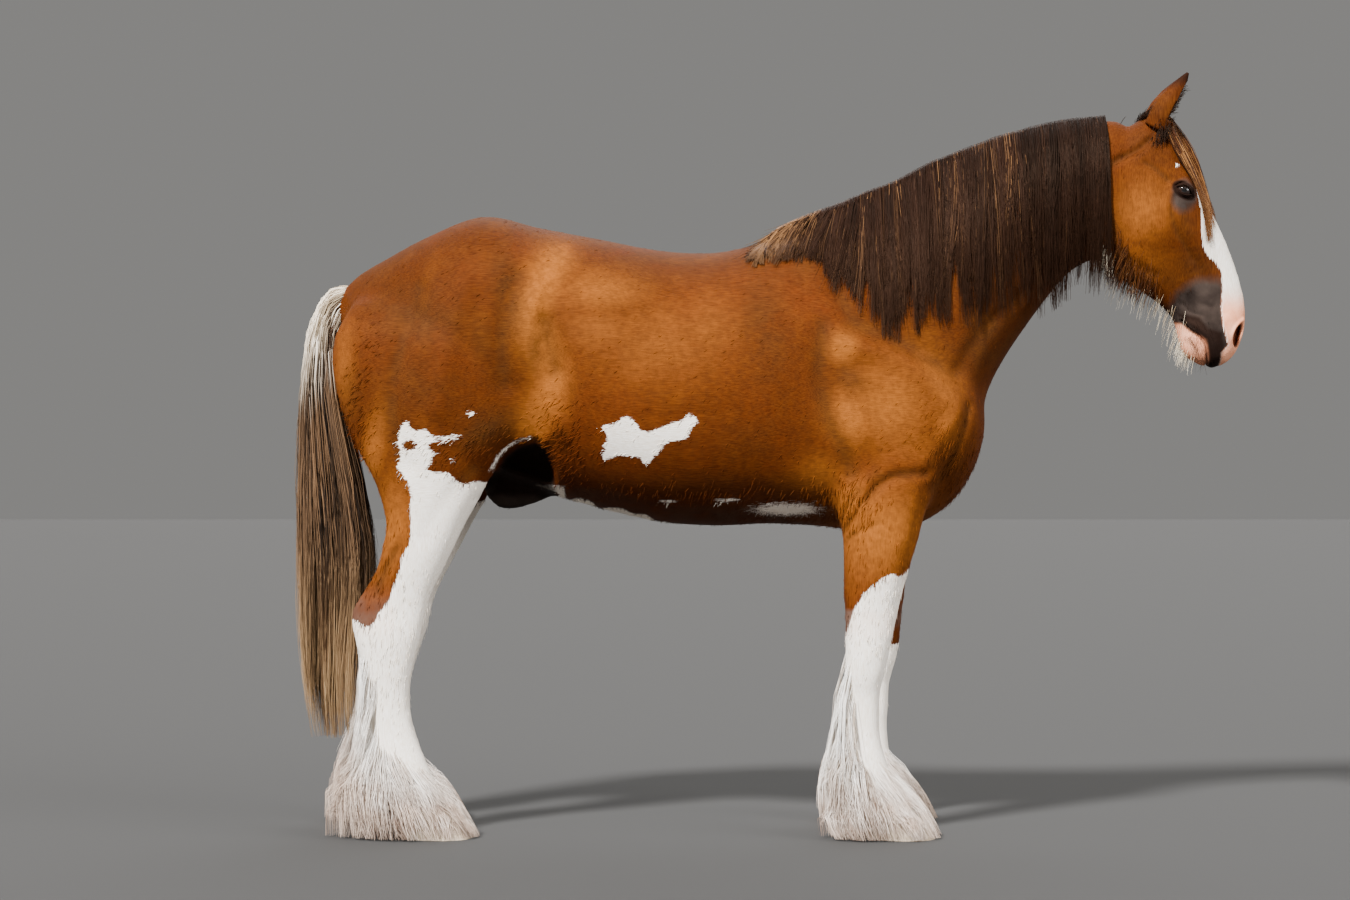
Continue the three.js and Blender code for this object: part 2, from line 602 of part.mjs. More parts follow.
add("torso", trunk, COAT.bay);
add("neck", neck.add(mane()).subtract(trunkGrown).subtract(headGrown), COAT.bay);
add("head", union(head, forelock(), beard()), COAT.bay);
add("tail", tail().subtract(trunkGrown), COAT.tail);
for (const [word, side] of [["left", LEFT], ["right", RIGHT]]) {
  add(`ear_${word}`, ear(side).subtract(headGrown), COAT.bay);
  add(`eye_${word}`, eyeball(side), COAT.eye);
  const legs = [
    { name: "fore", of: foreOf, hoof: FOREHOOF, hair: FOREFEATHER, below: belowFore, low: belowKnee, high: aboveKnee },
    { name: "hind", of: hindOf, hoof: HINDHOOF, hair: HINDFEATHER, below: belowHind, low: belowHock, high: aboveHock },
  ];
  for (const { name, of, hoof, hair, below, low, high } of legs) {
    const placed = { around: 16, side, lead: LEFT_LEAD[name] };
    const leg = of(side, 0).intersect(below).subtract(trunkGrown);
    const foot = union(leg, feather(hair, placed, 7 + side)).subtract(loft(hoof, { ...placed, grow: GAP }));
    add(`${name}_${word}_upper`, leg.intersect(high), COAT.bay);
    add(`${name}_${word}_lower`, foot.intersect(low), COAT.white);
    add(`${name}_${word}_hoof`, loft(hoof, placed), COAT.hoof);
  }
}

export default horse;
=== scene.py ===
import math

import bpy
import numpy as np
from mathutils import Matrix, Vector
from mathutils.bvhtree import BVHTree


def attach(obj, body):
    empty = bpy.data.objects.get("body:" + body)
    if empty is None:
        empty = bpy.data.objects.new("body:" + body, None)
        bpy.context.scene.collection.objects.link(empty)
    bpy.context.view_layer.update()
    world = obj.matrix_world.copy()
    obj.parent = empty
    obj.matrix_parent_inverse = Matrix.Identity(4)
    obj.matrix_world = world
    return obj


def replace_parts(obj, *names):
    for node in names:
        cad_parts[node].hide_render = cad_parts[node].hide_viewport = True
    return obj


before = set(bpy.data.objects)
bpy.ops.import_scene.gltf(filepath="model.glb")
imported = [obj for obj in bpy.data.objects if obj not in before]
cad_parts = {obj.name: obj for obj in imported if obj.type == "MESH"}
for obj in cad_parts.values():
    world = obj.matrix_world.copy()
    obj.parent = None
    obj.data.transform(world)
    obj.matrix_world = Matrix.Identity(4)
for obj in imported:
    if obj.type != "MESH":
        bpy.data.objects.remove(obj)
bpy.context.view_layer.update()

# Camera and studio
# The camera looks straight at the horse's right side from nine metres, as the photograph does. The floor is a
# plain grey sheet under a bright overcast sky, with a soft sun behind the camera, towards the horse's tail.
CAMERA_AT = (-0.2818, -9.0, 1.104)
LENS = 82.19  # mm, on a sensor 36 mm wide
FLOOR_HALF = 40.0
SUNS = [
    # the way from the horse to the lamp, watts per square metre, how wide the lamp is in degrees
    ((-0.45, -0.7, 0.76), 13.0, 8),
    ((0.8, -0.5, 0.45), 3.0, 40),
    ((0.1, 0.8, 0.9), 1.3, 50),
]


def linear(colour):
    """An sRGB hex value as the linear colour that a shader takes."""
    channels = [int(colour[i : i + 2], 16) / 255 for i in (1, 3, 5)]
    return [c / 12.92 if c <= 0.04045 else ((c + 0.055) / 1.055) ** 2.4 for c in channels] + [1.0]


def add(tree, kind, inputs=(), output=0, **settings):
    """Adds a node with its settings, and values or other nodes' outputs on its inputs; gives an output."""
    made = tree.nodes.new("ShaderNode" + kind)
    for name, value in settings.items():
        setattr(made, name, value)
    for name, value in inputs.items() if isinstance(inputs, dict) else enumerate(inputs):
        if isinstance(value, bpy.types.NodeSocket):
            tree.links.new(value, made.inputs[name])
        else:
            made.inputs[name].default_value = value
    return made.outputs[output]


def material(name, **values):
    """A new material with its shader's own values set, as (material, node tree, shader)."""
    made = bpy.data.materials.new(name)
    made.use_nodes = True
    shader = made.node_tree.nodes["Principled BSDF"]
    for socket, value in values.items():
        shader.inputs[socket.replace("_", " ")].default_value = value
    return made, made.node_tree, shader


camera = bpy.data.objects.new("camera", bpy.data.cameras.new("camera"))
camera.location = CAMERA_AT
camera.rotation_euler = (math.radians(90), 0, 0)
camera.data.lens = LENS
camera.data.clip_end = 200
bpy.context.scene.collection.objects.link(camera)
bpy.context.scene.camera = camera

for way, strength, wide in SUNS:
    sun = bpy.data.objects.new("sun", bpy.data.lights.new("sun", "SUN"))
    sun.data.energy = strength
    sun.data.angle = math.radians(wide)
    sun.rotation_euler = Vector(way).to_track_quat("Z", "Y").to_euler()
    bpy.context.scene.collection.objects.link(sun)

sky = bpy.data.worlds.new("sky")
sky.use_nodes = True
tree = sky.node_tree
height = add(tree, "SeparateXYZ", [add(tree, "TexCoord", output="Generated")], "Z")
overcast = add(tree, "ValToRGB", [height])
horizon, overhead = overcast.node.color_ramp.elements
horizon.position = 0.16
horizon.color = linear("#868583")
overhead.position = 0.6
overhead.color = linear("#f5f2ee")
tree.links.new(overcast, tree.nodes["Background"].inputs["Color"])
bpy.context.scene.world = sky

bpy.ops.object.select_all(action="DESELECT")
bpy.ops.mesh.primitive_plane_add(size=2 * FLOOR_HALF)
floor = bpy.context.object
floor.name = "floor"
# Matt floor paint, rolled on: a plain grey with a faint mottle.
paint, tree, shader = material("matt_painted_floor", Roughness=0.9)
mottle = add(tree, "TexNoise", {"Scale": 3.0, "Detail": 3.0})
painted = add(tree, "MixRGB", [mottle, linear("#282726"), linear("#2b2a29")])
tree.links.new(painted, shader.inputs["Base Color"])
floor.data.materials.append(paint)

# Skin
# The horse's body, head, legs and ears under its coat: one closed skin with no seams. It is made as a
# sculptor makes it, from simple forms down the body, fused and smoothed, with muscle, folds and features
# worked in after.
MM = 0.001
RIGHT = -1
LEFT = 1
SIDES = (("left", LEFT), ("right", RIGHT))
COAT_DEPTH = 1.5  # mm that the skin lies inside the body's own outline
VOXEL = 0.0125  # metres between the points of the fused skin
# Each form is a row of slices down its length, in millimetres: x and z of the slice's upper or front edge,
# x and z of its lower or rear edge, half its width, where it is widest as a share of the way across, y of
# its middle.
TORSO = [
    [-1242, 1575, -1248, 1340, 60, 0.5, 0],
    [-1213, 1610, -1207, 1250, 130, 0.5, 0],
    [-1130, 1657, -1100, 1180, 215, 0.48, 0],
    [-997, 1727, -968, 1122, 275, 0.46, 0],
    [-837, 1785, -822, 1046, 305, 0.46, 0],
    [-676, 1752, -682, 987, 318, 0.48, 0],
    [-501, 1720, -507, 935, 340, 0.52, 0],
    [-326, 1688, -326, 894, 352, 0.56, 0],
    [-165, 1682, -165, 882, 346, 0.57, 0],
    [-19, 1712, -13, 888, 322, 0.58, 0],
    [118, 1742, 127, 882, 290, 0.6, 0],
    [264, 1700, 270, 868, 272, 0.6, 0],
    [399, 1592, 410, 880, 258, 0.58, 0],
    [510, 1460, 521, 948, 222, 0.55, 0],
    [582, 1335, 588, 1048, 160, 0.5, 0],
    [618, 1244, 618, 1139, 75, 0.5, 0],
]
NECK = [
    [20, 1660, 480, 1010, 170, 0.62, 0],
    [100, 1752, 590, 1175, 205, 0.62, 0],
    [206, 1806, 644, 1303, 188, 0.62, 0],
    [331, 1850, 685, 1378, 164, 0.62, 0],
    [463, 1918, 734, 1451, 142, 0.6, 0],
    [623, 1986, 796, 1536, 120, 0.58, 0],
    [784, 2036, 860, 1612, 104, 0.56, 0],
    [915, 2063, 924, 1653, 94, 0.55, 0],
    [1010, 2066, 990, 1668, 86, 0.5, 0],
    [1055, 2030, 1040, 1750, 50, 0.5, 0],
]
HEAD = [
    [1015, 2020, 975, 1800, 50, 0.45, 0],
    [1094, 2080, 958, 1682, 91, 0.45, 0],
    [1162, 2045, 980, 1634, 102, 0.42, 0],
    [1205, 1983, 1013, 1603, 110, 0.4, 0],
    [1236, 1907, 1049, 1584, 110, 0.36, 0],
    [1266, 1837, 1079, 1564, 99, 0.38, 0],
    [1299, 1770, 1108, 1544, 84, 0.42, 0],
    [1330, 1706, 1134, 1523, 72, 0.45, 0],
    [1356, 1638, 1158, 1501, 66, 0.48, 0],
    [1374, 1580, 1172, 1476, 64, 0.5, 0],
    [1384, 1527, 1180, 1446, 68, 0.5, 0],
    [1384, 1478, 1188, 1411, 70, 0.48, 0],
    [1372, 1425, 1204, 1381, 64, 0.45, 0],
    [1356, 1388, 1230, 1362, 54, 0.45, 0],
    [1334, 1362, 1260, 1349, 38, 0.45, 0],
    [1314, 1350, 1284, 1344, 16, 0.45, 0],
]
FORELEG = [
    [459, 1175, 203, 1175, 70, 0.5, 165],
    [492, 1075, 183, 1075, 98, 0.5, 180],
    [468, 996, 171, 996, 104, 0.5, 190],
    [439, 933, 183, 927, 99, 0.5, 200],
    [419, 862, 194, 862, 90, 0.5, 208],
    [394, 785, 197, 785, 79, 0.5, 211],
    [371, 705, 197, 705, 70, 0.5, 213],
    [354, 634, 200, 634, 63, 0.5, 214],
    [338, 560, 202, 560, 63, 0.5, 215],
    [320, 471, 200, 471, 60, 0.5, 215],
    [305, 415, 208, 415, 49, 0.5, 215],
    [303, 345, 214, 345, 45, 0.5, 215],
    [306, 285, 212, 282, 46, 0.5, 215],
    [328, 205, 198, 203, 55, 0.5, 215],
    [352, 152, 216, 148, 54, 0.5, 215],
    [396, 88, 246, 82, 68, 0.5, 215],
]
HINDLEG = [
    [-767, 1532, -1213, 1532, 80, 0.5, 150],
    [-704, 1432, -1258, 1432, 126, 0.5, 170],
    [-678, 1332, -1266, 1332, 138, 0.5, 178],
    [-675, 1235, -1246, 1238, 138, 0.5, 182],
    [-712, 1155, -1214, 1158, 130, 0.5, 186],
    [-758, 1098, -1187, 1098, 118, 0.5, 190],
    [-812, 1010, -1140, 1010, 98, 0.5, 196],
    [-872, 904, -1109, 904, 79, 0.5, 202],
    [-906, 833, -1117, 833, 68, 0.5, 206],
    [-941, 762, -1135, 762, 58, 0.5, 208],
    [-969, 705, -1172, 700, 52, 0.5, 209],
    [-989, 648, -1206, 644, 51, 0.5, 210],
    [-1004, 575, -1201, 580, 57, 0.5, 210],
    [-1028, 482, -1176, 482, 51, 0.5, 210],
    [-1037, 415, -1162, 415, 44, 0.5, 210],
    [-1033, 350, -1157, 350, 42, 0.5, 210],
    [-1018, 290, -1154, 288, 45, 0.5, 210],
    [-985, 210, -1150, 206, 56, 0.5, 210],
    [-958, 152, -1126, 148, 55, 0.5, 210],
    [-910, 86, -1084, 80, 68, 0.5, 210],
]
SHEATH = [
    [-620, 1060, -620, 985, 26, 0.5, 0],
    [-670, 1075, -665, 955, 44, 0.5, 0],
    [-735, 1090, -720, 935, 52, 0.5, 0],
    [-800, 1100, -785, 928, 46, 0.5, 0],
    [-850, 1100, -840, 970, 28, 0.5, 0],
]
DOCK = [
    [-1190, 1588, -1205, 1520, 34, 0.5, 0],
    [-1262, 1572, -1238, 1510, 40, 0.5, 0],
    [-1318, 1510, -1262, 1475, 42, 0.5, 0],
    [-1346, 1420, -1280, 1412, 42, 0.5, 0],
    [-1358, 1300, -1292, 1300, 40, 0.5, 0],
    [-1358, 1150, -1288, 1150, 34, 0.5, 0],
    [-1350, 1000, -1300, 1000, 22, 0.5, 0],
]
# How far ahead of the right legs the left ones stand, at heights up the leg.
FORE_LEAD = [[0, 20], [180, 30], [330, 55], [520, 60], [1000, 5]]
HIND_LEAD = [[0, -55], [180, -55], [560, -15], [1000, 0]]
# Muscle and bone that swell or hollow the sides: x, z, half length, half height, turn in degrees, rise.
BODY_MUSCLES = [
    [330, 1330, 210, 70, -28, 20],  # shoulder blade's spine
    [170, 1290, 70, 90, 0, -14],  # hollow behind the shoulder blade
    [330, 1120, 130, 90, -20, 16],  # long head of the triceps
    [500, 1180, 70, 90, 20, 18],  # point of the shoulder
    [-640, 1330, 55, 150, 10, -26],  # flank's hollow
    [-700, 1620, 80, 55, 0, 16],  # point of the hip
    [-950, 1430, 70, 170, 12, 12],  # thigh's front muscle
    [-760, 1150, 70, 70, 0, 10],  # stifle
]
HEAD_MUSCLES = [
    [1193, 1893, 46, 16, -22, 9],  # brow over the eye
    [1150, 1925, 30, 26, 0, -8],  # hollow above the eye
    [1085, 1760, 75, 95, -25, 12],  # cheek muscle
    [1205, 1735, 18, 85, 28, 8],  # facial crest
    [1255, 1610, 45, 60, 0, -6],  # hollow behind the nostril
    [1340, 1465, 32, 50, 20, 10],  # nostril's flare
]


def smooth(low, high, value):
    """0 below low, 1 above high, and a soft step between; high may be the lower of the two."""
    share = np.clip((value - low) / (high - low), 0, 1)
    return share * share * (3 - 2 * share)


def between(table, at):
    """Values between the rows of a table of [place, value]."""
    places, values = np.array(table, float).T
    return np.interp(at, places, values)


def along(rows, t):
    """The smooth curve through evenly spaced rows, at shares t of its length."""
    rows = np.array(rows, float)
    padded = np.vstack([2 * rows[0] - rows[1], rows, 2 * rows[-1] - rows[-2]])
    place = np.clip(t, 0, 1) * (len(rows) - 1)
    k = np.minimum(place.astype(int), len(rows) - 2)
    w = (place - k)[..., None]
    a, b, c, d = (padded[k + i] for i in range(4))
    return b + 0.5 * w * (c - a + w * (2 * a - 5 * b + 4 * c - d + w * (3 * (b - c) + d - a)))


def spots(table, x, z):
    """Soft spots in the side view, from rows of x, z, half length, half height, turn in degrees and most."""
    for middle_x, middle_z, long, high, turn, most in table:
        c, s = math.cos(math.radians(turn)), math.sin(math.radians(turn))
        u = ((x - middle_x) * c + (z - middle_z) * s) / long
        v = ((z - middle_z) * c - (x - middle_x) * s) / high
        yield most * np.exp(-u * u - v * v)


def form(rows, side=LEFT, lead=None, muscles=(), fullness=1.0):
    """A form's surface, as a function of the angle from its first edge, the share along it, the share of the
    way out from its core and how far it is grown."""

    def place(angle, t, radius=1.0, grow=0.0):
        at = along(rows, np.asarray(t, float))
        first, second = at[..., 0:2], at[..., 2:4]
        half, widest, middle = at[..., 4], at[..., 5], at[..., 6]
        outward = second - first
        outward /= np.linalg.norm(outward, axis=-1, keepdims=True)
        first = first - outward * grow
        second = second + outward * grow
        share = ((1 - np.cos(angle)) / 2) ** (np.log(widest) / math.log(0.5))
        across = (widest + (share - widest) * radius)[..., None]
        flat = first + (second - first) * across
        sine = np.sign(np.sin(angle)) * np.abs(np.sin(angle)) ** fullness
        raised = half + grow + sum(spots(muscles, flat[..., 0], flat[..., 1]))
        y = raised * sine * radius + side * middle
        x = flat[..., 0] + (between(lead, flat[..., 1]) if lead and side == LEFT else 0)
        return np.stack([x, y, flat[..., 1]], axis=-1)

    return place


FORMS = {
    "torso": form(TORSO, muscles=BODY_MUSCLES, fullness=0.9),
    "neck": form(NECK),
    "head": form(HEAD, muscles=HEAD_MUSCLES),
    "sheath": form(SHEATH),
    "dock": form(DOCK),
}
for word, side in reversed(SIDES):
    FORMS[f"fore_{word}"] = form(FORELEG, side, FORE_LEAD)
    FORMS[f"hind_{word}"] = form(HINDLEG, side, HIND_LEAD, BODY_MUSCLES)


def points_of(mesh):
    """A mesh's points as an array, in metres."""
    co = np.empty(len(mesh.vertices) * 3, np.float32)
    mesh.vertices.foreach_get("co", co)
    return co.reshape(-1, 3).astype(float)


def normals_of(mesh):
    normals = np.empty(len(mesh.vertices) * 3, np.float32)
    mesh.vertex_normals.foreach_get("vector", normals)
    return normals.reshape(-1, 3).astype(float)


def set_points(mesh, points):
    mesh.vertices.foreach_set("co", np.asarray(points, np.float32).ravel())
    mesh.update()


def only(*pieces):
    """Selects these pieces alone, the first of them active."""
    bpy.ops.object.select_all(action="DESELECT")
    for piece in pieces:
        piece.select_set(True)
    bpy.context.view_layer.objects.active = pieces[0]


def shaped(name, points):
    """The ball or ring just added, named, with its points moved and its faces turned outwards."""
    made = bpy.context.object
    made.name = name
    set_points(made.data, points * MM)
    bpy.ops.object.mode_set(mode="EDIT")
    bpy.ops.mesh.select_all(action="SELECT")
    bpy.ops.mesh.normals_make_consistent(inside=False)
    bpy.ops.object.mode_set(mode="OBJECT")
    return made


def lofted(name, place, around, rings, grow=0.0):
    """A ball whose points are moved onto a form, poles at its two ends."""
    bpy.ops.object.select_all(action="DESELECT")
    bpy.ops.mesh.primitive_uv_sphere_add(segments=around, ring_count=rings + 2, radius=1)
    x, y, z = points_of(bpy.context.object.data).T
    ring = np.rint(np.arccos(np.clip(z, -1, 1)) / math.pi * (rings + 2))
    t = np.clip((ring - 1) / rings, 0, 1)
    radius = np.where((ring == 0) | (ring == rings + 2), 0.0, 1.0)
    return shaped(name, place(np.arctan2(y, x), t, radius, grow))


def apply(piece, kind, **settings):
    """Adds a modifier to a piece and applies it."""
    bpy.context.view_layer.objects.active = piece
    modifier = piece.modifiers.new("work", kind)
    for name, value in settings.items():
        setattr(modifier, name, value)
    bpy.ops.object.modifier_apply(modifier=modifier.name)


def weigh(piece, weights):
    """Puts weights on a piece's points, as the group that a modifier works by."""
    group = piece.vertex_groups.get("work") or piece.vertex_groups.new(name="work")
    for level in np.unique(np.round(weights, 1)):
        where = np.nonzero(np.round(weights, 1) == level)[0]
        group.add(where.tolist(), float(level), "REPLACE")
    return group.name


GRIDS = {"torso": (72, 90), "neck": (60, 50), "head": (64, 80)}  # faces round and along the larger forms
LEG_GRID = (36, 70)
flesh = [lofted(name, place, *GRIDS.get(name, LEG_GRID), -COAT_DEPTH) for name, place in FORMS.items()]
only(*flesh)
bpy.ops.object.join()
skin = bpy.context.object
skin.name = "skin"
apply(skin, "REMESH", mode="VOXEL", voxel_size=VOXEL)
apply(skin, "SMOOTH", factor=0.5, iterations=10)

# The joins of leg and body, and of neck, head and body, are blended further: x, z and radius of each blend.
JOINS = [
    [330, 1000, 200],
    [-760, 1120, 190],
    [450, 1250, 260],
    [180, 1480, 260],
    [1010, 1850, 190],
    [-1190, 1530, 120],
    [-1150, 1300, 170],
    [-740, 1040, 120],
]
x, y, z = points_of(skin.data).T / MM
weights = np.zeros_like(x)
for jx, jz, radius in JOINS:
    weights = np.maximum(weights, smooth(radius, radius * 0.5, np.hypot(x - jx, z - jz)))
apply(skin, "SMOOTH", factor=0.5, iterations=30, vertex_group=weigh(skin, weights))


def refine(piece, chosen):
    """Splits the faces whose points are all chosen, so that finer features fit."""
    only(piece)
    bpy.ops.object.mode_set(mode="EDIT")
    bpy.ops.mesh.select_mode(type="VERT")
    bpy.ops.mesh.select_all(action="DESELECT")
    bpy.ops.object.mode_set(mode="OBJECT")
    piece.data.vertices.foreach_set("select", chosen)
    bpy.ops.object.mode_set(mode="EDIT")
    bpy.ops.mesh.select_mode(type="VERT")
    bpy.ops.mesh.select_mode(type="FACE")
    bpy.ops.mesh.subdivide(number_cuts=1)
    bpy.ops.object.mode_set(mode="OBJECT")


def head_zone(x, z):
    """1 on the head, down to 0 on the neck behind its cut."""
    return smooth(-20, 30, (x - 985) + 0.15 * (z - 1860))


x, y, z = points_of(skin.data).T / MM
refine(skin, head_zone(x, z) > 0.5)
x, y, z = points_of(skin.data).T / MM
EYE = {
    "x": 1188, "y": 89, "z": 1853, "radius": 24, "lid": 4.5,
    "width": 50, "up": 14.8, "down": 12.2, "turn": -25,  # the opening between the lids
}
near_eye = np.hypot(x - EYE["x"], z - EYE["z"]) < 52
muzzle = (z < 1525) & (x > 1150)
refine(skin, (near_eye & (np.abs(y) > 60)) | muzzle)
x, y, z = points_of(skin.data).T / MM
apply(skin, "SMOOTH", factor=0.5, iterations=5, vertex_group=weigh(skin, head_zone(x, z)))

# Folds and edges that are too sharp for the muscles' soft forms: points along each in the side view, half its
# width and how far it rises, all in millimetres.
FOLDS = [
    ([[1077, 1934], [1110, 1912], [1140, 1884]], 9, -4),  # temple's edge from ear to eye
    # throat's edge under the ear
    ([[950, 1900], [961, 1919], [1019, 1954], [1062, 1977], [1091, 2003]], 11, -9),
    ([[1140, 1880], [1120, 1840], [1112, 1800], [1118, 1760]], 16, -3),  # temple's hollow behind the eye
    ([[961, 1726], [985, 1655], [1030, 1612], [1090, 1578]], 12, 3),  # jaw's edge
    ([[985, 1760], [1005, 1690], [1050, 1645], [1110, 1610]], 13, -4),  # groove inside the jaw's edge
    # cheek muscle's front edge
    ([[1160, 1835], [1150, 1790], [1165, 1740], [1195, 1690], [1215, 1660]], 9, -4),
    ([[1225, 1650], [1262, 1600], [1290, 1545], [1310, 1500]], 10, -3),  # groove along the nose
    ([[1215, 1560], [1240, 1530], [1275, 1520]], 7, -2.5),  # wrinkle above the mouth's corner
    ([[1190, 1530], [1215, 1505], [1245, 1495]], 6, -2),
]
MOUTH_LINE = [[1270, 1336], [1264, 1370], [1257, 1408], [1240, 1434], [1216, 1452], [1190, 1480]]
LIP_FORMS = [
    ([[1286, 1350], [1280, 1385], [1270, 1425], [1240, 1455], [1212, 1474]], 10, 4),  # upper lip
    ([[1252, 1345], [1246, 1385], [1236, 1412], [1212, 1432]], 11, 3),  # lower lip
    ([[1200, 1392], [1222, 1372]], 16, 3),  # chin
    (MOUTH_LINE, 3.2, -8),
]
BODY_FOLDS = [
    ([[255, 960], [300, 1008], [360, 1034], [430, 1036]], 12, -11),  # the forearm's top under the shoulder
    ([[196, 872], [225, 925], [268, 985], [290, 1010]], 9, -8),  # folds of loose skin at the elbow
    ([[190, 835], [232, 872], [290, 900]], 7, -5),
    ([[188, 900], [206, 945], [240, 990]], 8, -5),
    ([[150, 1480], [212, 1400], [330, 1370], [430, 1310], [510, 1245]], 30, 9),  # shoulder blade's ridge
    ([[190, 1560], [230, 1470], [300, 1440], [420, 1380], [520, 1320]], 26, -6),  # hollow ahead of it
    ([[140, 1460], [130, 1330], [150, 1210], [196, 1100], [220, 1040]], 26, -8),  # behind the shoulder
    ([[225, 1290], [250, 1200], [300, 1110], [330, 1070]], 34, 7),  # long head of the triceps
    ([[520, 1210], [470, 1130], [440, 1080]], 22, 7),  # point of the shoulder
    ([[560, 1230], [530, 1130], [490, 1040], [450, 990]], 12, -8),  # breast muscle's edge
    ([[-600, 1150], [-640, 1240], [-668, 1330], [-690, 1440], [-670, 1560]], 24, 8),  # flank's fold
    ([[-620, 1330], [-640, 1400], [-650, 1470]], 26, -9),
    ([[-730, 1600], [-756, 1500], [-770, 1390], [-760, 1290]], 30, -9),  # ahead of the thigh
    ([[-880, 1560], [-905, 1440], [-930, 1320], [-950, 1220]], 34, 7),  # thigh's long muscle
    ([[-600, 1180], [-680, 1100], [-760, 1040]], 18, 5),
    ([[-1010, 1560], [-1060, 1380], [-1080, 1200], [-1040, 1060]], 28, -7),  # between thigh and rump
    ([[-850, 1050], [-930, 960], [-1000, 850]], 26, -4),  # gaskin's groove
    ([[-1110, 800], [-1150, 720], [-1185, 660]], 10, 6),  # hock's tendon
    ([[-1070, 830], [-1105, 760], [-1130, 690]], 12, -6),
    ([[430, 1010], [400, 880], [370, 760], [345, 660]], 14, -3),  # forearm's groove
    ([[260, 880], [250, 780], [240, 690]], 14, -3),
    ([[530, 1330], [600, 1440], [690, 1530], [800, 1610], [900, 1690]], 22, -7),  # jugular groove
]


def distance_to(points, x, z):
    """Distance in the side view from an open line through points."""
    points = np.array(points, float)
    best = np.full(x.shape, 1e9)
    for (ax, az), (bx, bz) in zip(points[:-1], points[1:]):
        dx, dz = bx - ax, bz - az
        share = np.clip(((x - ax) * dx + (z - az) * dz) / (dx * dx + dz * dz), 0, 1)
        best = np.minimum(best, np.hypot(x - ax - share * dx, z - az - share * dz))
    return best


def inside_of(outline, x, z):
    """How far inside a closed outline each point lies in the side view, less than 0 outside."""
    points = np.array(outline, float)
    within = np.zeros(x.shape, bool)
    for (ax, az), (bx, bz) in zip(points, np.roll(points, -1, 0)):
        crosses = (az > z) != (bz > z)
        run = (z - az) / (bz - az if bz != az else 1e-9)
        within ^= crosses & (x < ax + run * (bx - ax))
    away = distance_to(np.vstack([points, points[:1]]), x, z)
    return np.where(within, away, -away)


def rounded(points, count=24):
    """The smooth line through a few points."""
    return along(points, np.linspace(0, 1, count))


def beside(line, width, x, z):
    """1 on the smooth line through a few points, fading over its half width."""
    return np.exp(-((distance_to(rounded(line), x, z) / width) ** 2))


def relief(table, x, z):
    """How far a table's folds and edges raise the skin."""
    return sum(height * beside(line, width, x, z) for line, width, height in table)


points = points_of(skin.data) / MM
normals = normals_of(skin.data)
x, y, z = points.T
on_head = head_zone(x, z)
rise = relief(BODY_FOLDS, x, z) * (1 - on_head) + relief(FOLDS, x, z) * on_head
rise = rise * smooth(0.15, 0.6, np.abs(normals[:, 1])) + relief(LIP_FORMS, x, z) * on_head
points = points + normals * rise[:, None]

# The groin: between the thigh, the flank's fold and the belly the skin goes deep in.
GROIN = [
    [-860, 960], [-821, 991], [-804, 1047], [-776, 1090], [-733, 1122], [-677, 1136], [-640, 1112],
    [-622, 1060], [-615, 960],
]
GROIN_DEEP = 85
x, y, z = points.T
in_groin = smooth(-6, 26, inside_of(GROIN, x, z)) * smooth(110, 200, np.abs(y))
points[:, 1] -= np.sign(y) * GROIN_DEEP * in_groin

# Nostrils: a tall slit on each side of the muzzle with a raised rim, going in and back.
NOSTRIL = {"x": 1349, "z": 1438, "long": 37, "wide": 11, "deep": 24, "turn": 14, "rim": 5}


def in_nostril(x, z):
    """Places up and across the nostril's slit."""
    turn = math.radians(NOSTRIL["turn"])
    u = (x - NOSTRIL["x"]) * math.sin(turn) + (z - NOSTRIL["z"]) * math.cos(turn)
    return u, (x - NOSTRIL["x"]) * math.cos(turn) - (z - NOSTRIL["z"]) * math.sin(turn) - 0.006 * u * u


def nostril_at(points):
    """1 on the nostril's edge, less inside it."""
    u, v = in_nostril(points[:, 0], points[:, 2])
    return np.hypot(u / NOSTRIL["long"], v / NOSTRIL["wide"])


x, y, z = points.T
u, v = in_nostril(x, z)
slit = nostril_at(points)
on_side = smooth(18, 40, np.abs(y)) * on_head
depth = NOSTRIL["deep"] * smooth(1.12, 0.55, slit) * on_side
rim = np.exp(-(((slit - 1.35) / 0.35) ** 2)) * on_side * smooth(-1.2, 0.2, u / NOSTRIL["long"])
points[:, 1] -= np.sign(y) * depth
points += normals * (NOSTRIL["rim"] * rim)[:, None]
points[:, 0] -= 0.35 * depth

# Eye sockets: the lids follow the eyeball, and inside the almond between them the skin drops behind it.
def in_eye(x, z):
    """Places along and up from the eye's middle, along the line from corner to corner."""
    turn = math.radians(EYE["turn"])
    along_eye = (x - EYE["x"]) * math.cos(turn) + (z - EYE["z"]) * math.sin(turn)
    return along_eye, (z - EYE["z"]) * math.cos(turn) - (x - EYE["x"]) * math.sin(turn)


x, y, z = points.T
u, v = in_eye(x, z)
away = np.hypot(u, v)
outer = np.abs(y) > 40


def eye_dome(radius, away):
    """y of the outside of a ball of this radius about the eye's centre."""
    return EYE["y"] + np.sqrt(np.maximum(radius**2 - away**2, 0))


lids = eye_dome(EYE["radius"] + EYE["lid"], away)
blend = smooth(38, 24, away) * outer
level = np.abs(y) + (np.maximum(lids, np.abs(y)) - np.abs(y)) * blend
half = EYE["width"] / 2
arch = 1 - (u / half) ** 2
open_up = EYE["up"] * arch
open_down = -EYE["down"] * arch
inside = np.minimum(smooth(0, 3, open_up - v), smooth(0, 3, v - open_down)) * (np.abs(u) < half) * outer
ball = eye_dome(EYE["radius"] - 3.5, away)
level = level * (1 - inside) + ball * inside
